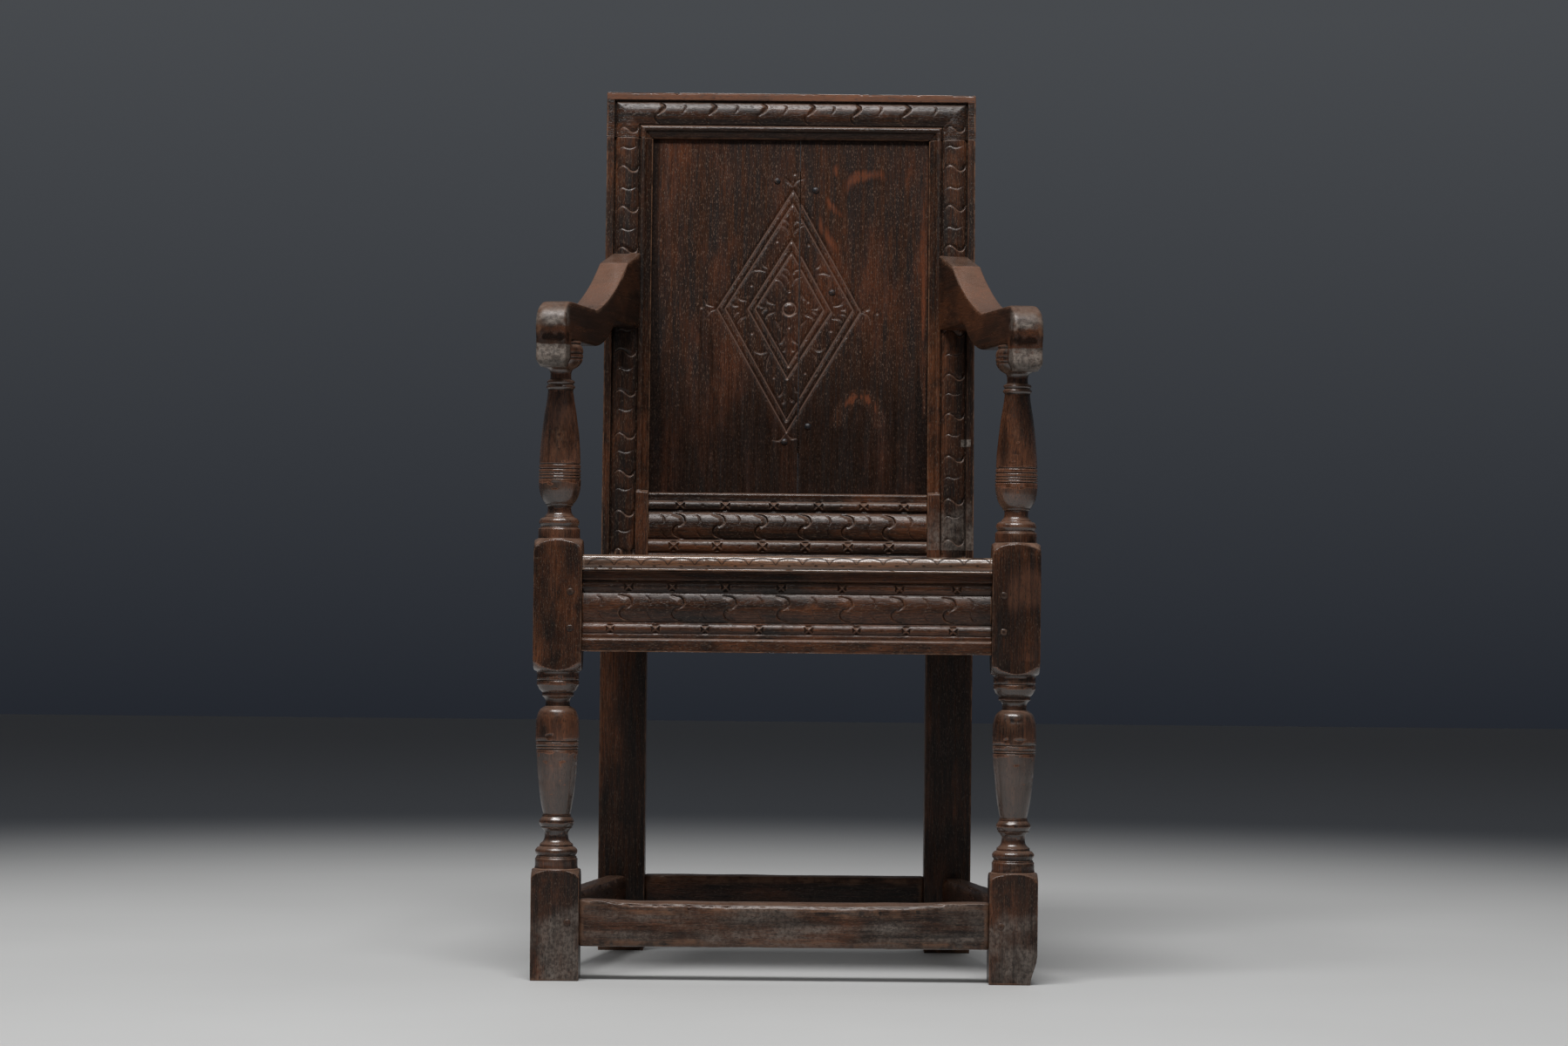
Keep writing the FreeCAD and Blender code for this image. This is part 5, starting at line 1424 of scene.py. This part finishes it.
def dress_side(side, word):
    """One side's leg, post, arm, rail and stretcher."""
    leg = foot_worn(turned_leg(side * LEG_ACROSS, LEG_DEEP), side)
    piece(
        f"front_leg_{word}", "frame_oak", [leg], 20 + side,
        grain=2, wear_and_painted_light=leg_wear, dirt_and_shade=leg_shade_and_dirt, dent=0.45,
    )
    floors = paler_gouge_floors(lambda places: stile_gouges(places, side))
    piece(
        f"rear_post_{word}", "frame_oak", [rear_post(side)], 30 + side,
        grain=2, place=post_place, wear_and_painted_light=lambda grid: post_wear(grid, side),
        dirt_and_shade=lambda grid: corner_seam(grid) + floors(grid), dent=0.3,
    )
    piece(
        f"arm_{word}", "frame_oak", [arm()], 40 + side,
        grain=1, place=lambda grid: arm_place(grid, side), wear_and_painted_light=arm_wear, dirt_and_shade=arm_roll_shade,
        sway=0.6, dent=0.5,
    )
    start = (side * (LEG_OUTER - RAIL_SETBACK - RAIL_THICKNESS / 2), LEG_REAR)
    end = (side * (POST_OUTER - RAIL_SETBACK - RAIL_THICKNESS / 2), POST_FRONT)
    for name, low, high in (
        ("side_seat_rail", SIDE_RAIL_BOTTOM, RAIL_TOP),
        ("side_stretcher", STRETCHER_BOTTOM, STRETCHER_TOP),
    ):
        member = beam(start, end, low, high)
        piece(f"{name}_{word}", "frame_oak", [member], 50 + side, grain=1, sway=1.2, dent=1.5)


PANEL_SIDE = POST_INNER + PANEL_GROOVE - JOINT_CLEARANCE

dress_side(-1, "left")
dress_side(1, "right")
crest_floors = paler_gouge_floors(crest_gouges)
piece(
    "crest_rail", "frame_oak", [crest()], 60, place=raked, wear_and_painted_light=crest_wear,
    dirt_and_shade=lambda grid: corner_seam(grid) + crest_floors(grid), dent=0.3,
)
piece(
    "lower_back_rail", "frame_oak", [lower_back_rail()], 61,
    place=raked, dirt_and_shade=paler_gouge_floors(lower_rail_gouges), dent=0.3,
)
for word, low, high, seed in (
    ("left", -PANEL_SIDE, PANEL_SEAM - JOINT_CLEARANCE, 62),
    ("right", PANEL_SEAM, PANEL_SIDE, 66),
):
    piece(
        f"back_panel_{word}", "panel_oak", [panel_board(low, high)], seed,
        grain=2, place=raked, wear_and_painted_light=panel_wear, sway=0.4,
    )
for word, up in CLEATS:
    piece(f"{word}_panel_cleat", "hidden_oak", [cleat(up)], 70, place=raked, sway=0.8, dent=1)
nails = [nail(*row) for row in NAILS]
piece("panel_nails", "wrought_iron", nails, 71, sway=0, dent=0, facets=True)
for name, slot, grid, seed, looks in (
    ("seat_board_front", "seat_oak", front_seat_board(), 72,
     {"wear_and_painted_light": seat_wear, "dirt_and_shade": nosing_shade_and_dirt, "sway": 0.4, "dent": 0.5}),
    ("seat_board_rear", "seat_oak", rear_seat_board(), 73,
     {"wear_and_painted_light": seat_wear, "sway": 0.6, "dent": 0.8}),
    ("front_seat_rail", "frame_oak", front_seat_rail(), 74,
     {"dirt_and_shade": paler_gouge_floors(seat_rail_gouges), "dent": 0.3}),
    ("rear_seat_rail", "hidden_oak", rear_beam(SIDE_RAIL_BOTTOM, RAIL_TOP), 75,
     {"sway": 1.2, "dent": 1}),
    ("front_stretcher", "frame_oak", footworn_stretcher(), 76,
     {"wear_and_painted_light": stretcher_wear, "sway": 1, "dent": 1.2}),
    ("rear_stretcher", "frame_oak", rear_beam(STRETCHER_BOTTOM, STRETCHER_TOP), 77,
     {"sway": 1.2, "dent": 1.5}),
):
    piece(name, slot, [grid], seed, **looks)

# The pegs are given for the right side, each by its place on the wood's face
LEG_PEG_ACROSS = LEG_INNER + PEG_EDGE
POST_PEG_ACROSS = POST_INNER + PEG_EDGE
END_PEG_HEIGHTS = (447, 405, 67)
SIDE_PEG_HEIGHTS = (435, 393, 67)
INWARD, FORWARD, BACKWARD, DOWN = (-1, 0, 0), (0, -1, 0), (0, 1, 0), (0, 0, -1)
front_pegs = [peg((LEG_PEG_ACROSS, FRONT, up), BACKWARD, 38, up) for up in END_PEG_HEIGHTS]
rear_pegs = [peg((POST_PEG_ACROSS, BACK, up), FORWARD, 38, up) for up in END_PEG_HEIGHTS]
side_pegs = [
    peg((outer, deep, up), INWARD, 32, up)
    for outer, deep in ((LEG_OUTER, LEG_REAR - PEG_EDGE), (POST_OUTER, POST_FRONT + PEG_EDGE))
    for up in SIDE_PEG_HEIGHTS
]
back_pegs = [
    raked(peg((across, 0, up), FORWARD, 40, round(up)))
    for across, up in (
        (POST_PEG_ACROSS, LOWER_RAIL_LOW + 52), (POST_PEG_ACROSS, LOWER_RAIL_LOW + 25),
        (POST_ACROSS + 11, STILE_TOP + 16), (POST_ACROSS - 11, STILE_TOP + 16),
    )
]
arm_pegs = [
    peg((LEG_ACROSS + ARM_WIDTH / 2, LEG_DEEP, TURNING_TOP + 15), INWARD, 30, 1, 7),
    raked(peg((POST_OUTER, -42 + PEG_EDGE, 325), INWARD, 32, 2, 7)),
]
seat_pins = [
    peg((across, deep, SEAT_TOP), DOWN, 46, 300 + across, 8, 0.4)
    for deep, row in ((FRONT + 22, (-182, 0, 182)), (POST_MIDDLE, (-91, 91)))
    for across in row
]
for name, grids in (
    ("front_frame_pegs", both(front_pegs)),
    ("rear_frame_pegs", both(rear_pegs)),
    ("side_frame_pegs", both(side_pegs)),
    ("back_frame_pegs", both(back_pegs)),
    ("arm_pegs", both(arm_pegs)),
    ("seat_board_pins", seat_pins),
):
    piece(name, "peg_oak", grids, 80, sway=0, dent=0)


# The room: a pale floor, one broad lamp, the world's light and the photograph's camera


def placed(thing, right, up, back, place):
    """Gives an object its axes and its place."""
    matrix = np.eye(4)
    matrix[:3] = np.stack([right, up, back, place], -1)
    thing.matrix_world = Matrix(matrix.tolist())


def make_floor():
    """A pale floor whose colour falls into the dark a few strides from the chair: a painted
    fall-off of light.
    """
    tree = Tree(bpy.data.materials.new("floor_paint"))
    place = tree.add("TexCoord", {}, "Object")
    cloud = tree.noise(place, 1.3, 3, 0.5)
    pale = tree.mixed(cloud, (0.38, 0.38, 0.377), (0.455, 0.455, 0.451))
    reach = tree.add("VectorMath", {0: place}, "Value", operation="LENGTH")
    # Painted fall-off of light: darker with distance from the chair
    tone = tree.mixed(tree.ramp(reach, 1.2, 3.1), pale, (0.033, 0.037, 0.045))
    tone = tree.mixed(tree.ramp(reach, 3, 7), tone, (0.0135, 0.0155, 0.021))
    mesh = bpy.data.meshes.new("floor")
    half = 7.6
    corners = [(-half, -half, 0), (half, -half, 0), (half, half, 0), (-half, half, 0)]
    mesh.from_pydata(corners, [], [(0, 1, 2, 3)])
    mesh.materials.append(tree.paint({"Base Color": tone, "Roughness": 0.5}))
    thing = linked("floor", mesh)


def make_lamp():
    """One broad lamp high in front, which looks at the seat."""
    data = bpy.data.lights.new("key", "AREA")
    data.shape = "RECTANGLE"
    data.size = 2.6
    data.size_y = 0.9
    data.energy = 195
    place = np.array((-0.4, -1.75, 3.75))
    back = place - (0, 0, 0.5)
    back /= np.linalg.norm(back)
    right = np.cross((0, 0, 1), back)
    right /= np.linalg.norm(right)
    placed(linked("key", data), right, np.cross(back, right), back, place)


def make_world():
    """Pale light all round, stronger from behind where the lamp does not reach, and to the eye a
    plain grey wall that fades towards the floor."""
    world = bpy.data.worlds.new("room")
    bpy.context.scene.world = world
    tree = Tree(world)
    place = tree.add("TexCoord", {}, "Generated")
    deep, up = (tree.add("SeparateXYZ", {0: place}, axis) for axis in "YZ")
    strength = tree.ramp(deep, 0, 1, 0.27, 1.1, "LINEAR")
    rise = tree.ramp(up, -0.045, 0.125, curve="LINEAR")
    tones = tree.mixed(rise, (0.0155, 0.0185, 0.0255), (0.063, 0.068, 0.075))
    light = tree.nodes["Background"]
    tree.feed(light, {"Color": (1, 1, 1), "Strength": strength})
    wall = tree.add("Background", {"Color": tones})
    rays = (tree.add("LightPath", {}, f"Is {kind} Ray") for kind in ("Camera", "Glossy"))
    seen = tree.joined("MAXIMUM", *rays)
    mix = tree.add("MixShader", {0: seen, 1: light.outputs[0], 2: wall})
    tree.feed(tree.nodes["World Output"], {0: mix})


def make_camera():
    """The photograph's camera, level and turned a little about its line of sight."""
    data = bpy.data.cameras.new("camera")
    data.sensor_width = 36
    data.lens = LENS
    data.shift_y = (EYE_LINE_PIXEL - IMAGE_HEIGHT / 2) / IMAGE_WIDTH
    thing = linked("camera", data)
    cos, sin = math.cos(ROLL), math.sin(ROLL)
    placed(thing, (cos, 0, sin), (-sin, 0, cos), (0, -1, 0), EYE * MM)
    bpy.context.scene.camera = thing


make_floor()
make_world()
make_camera()
make_lamp()
bpy.context.scene.view_settings.view_transform = "Standard"
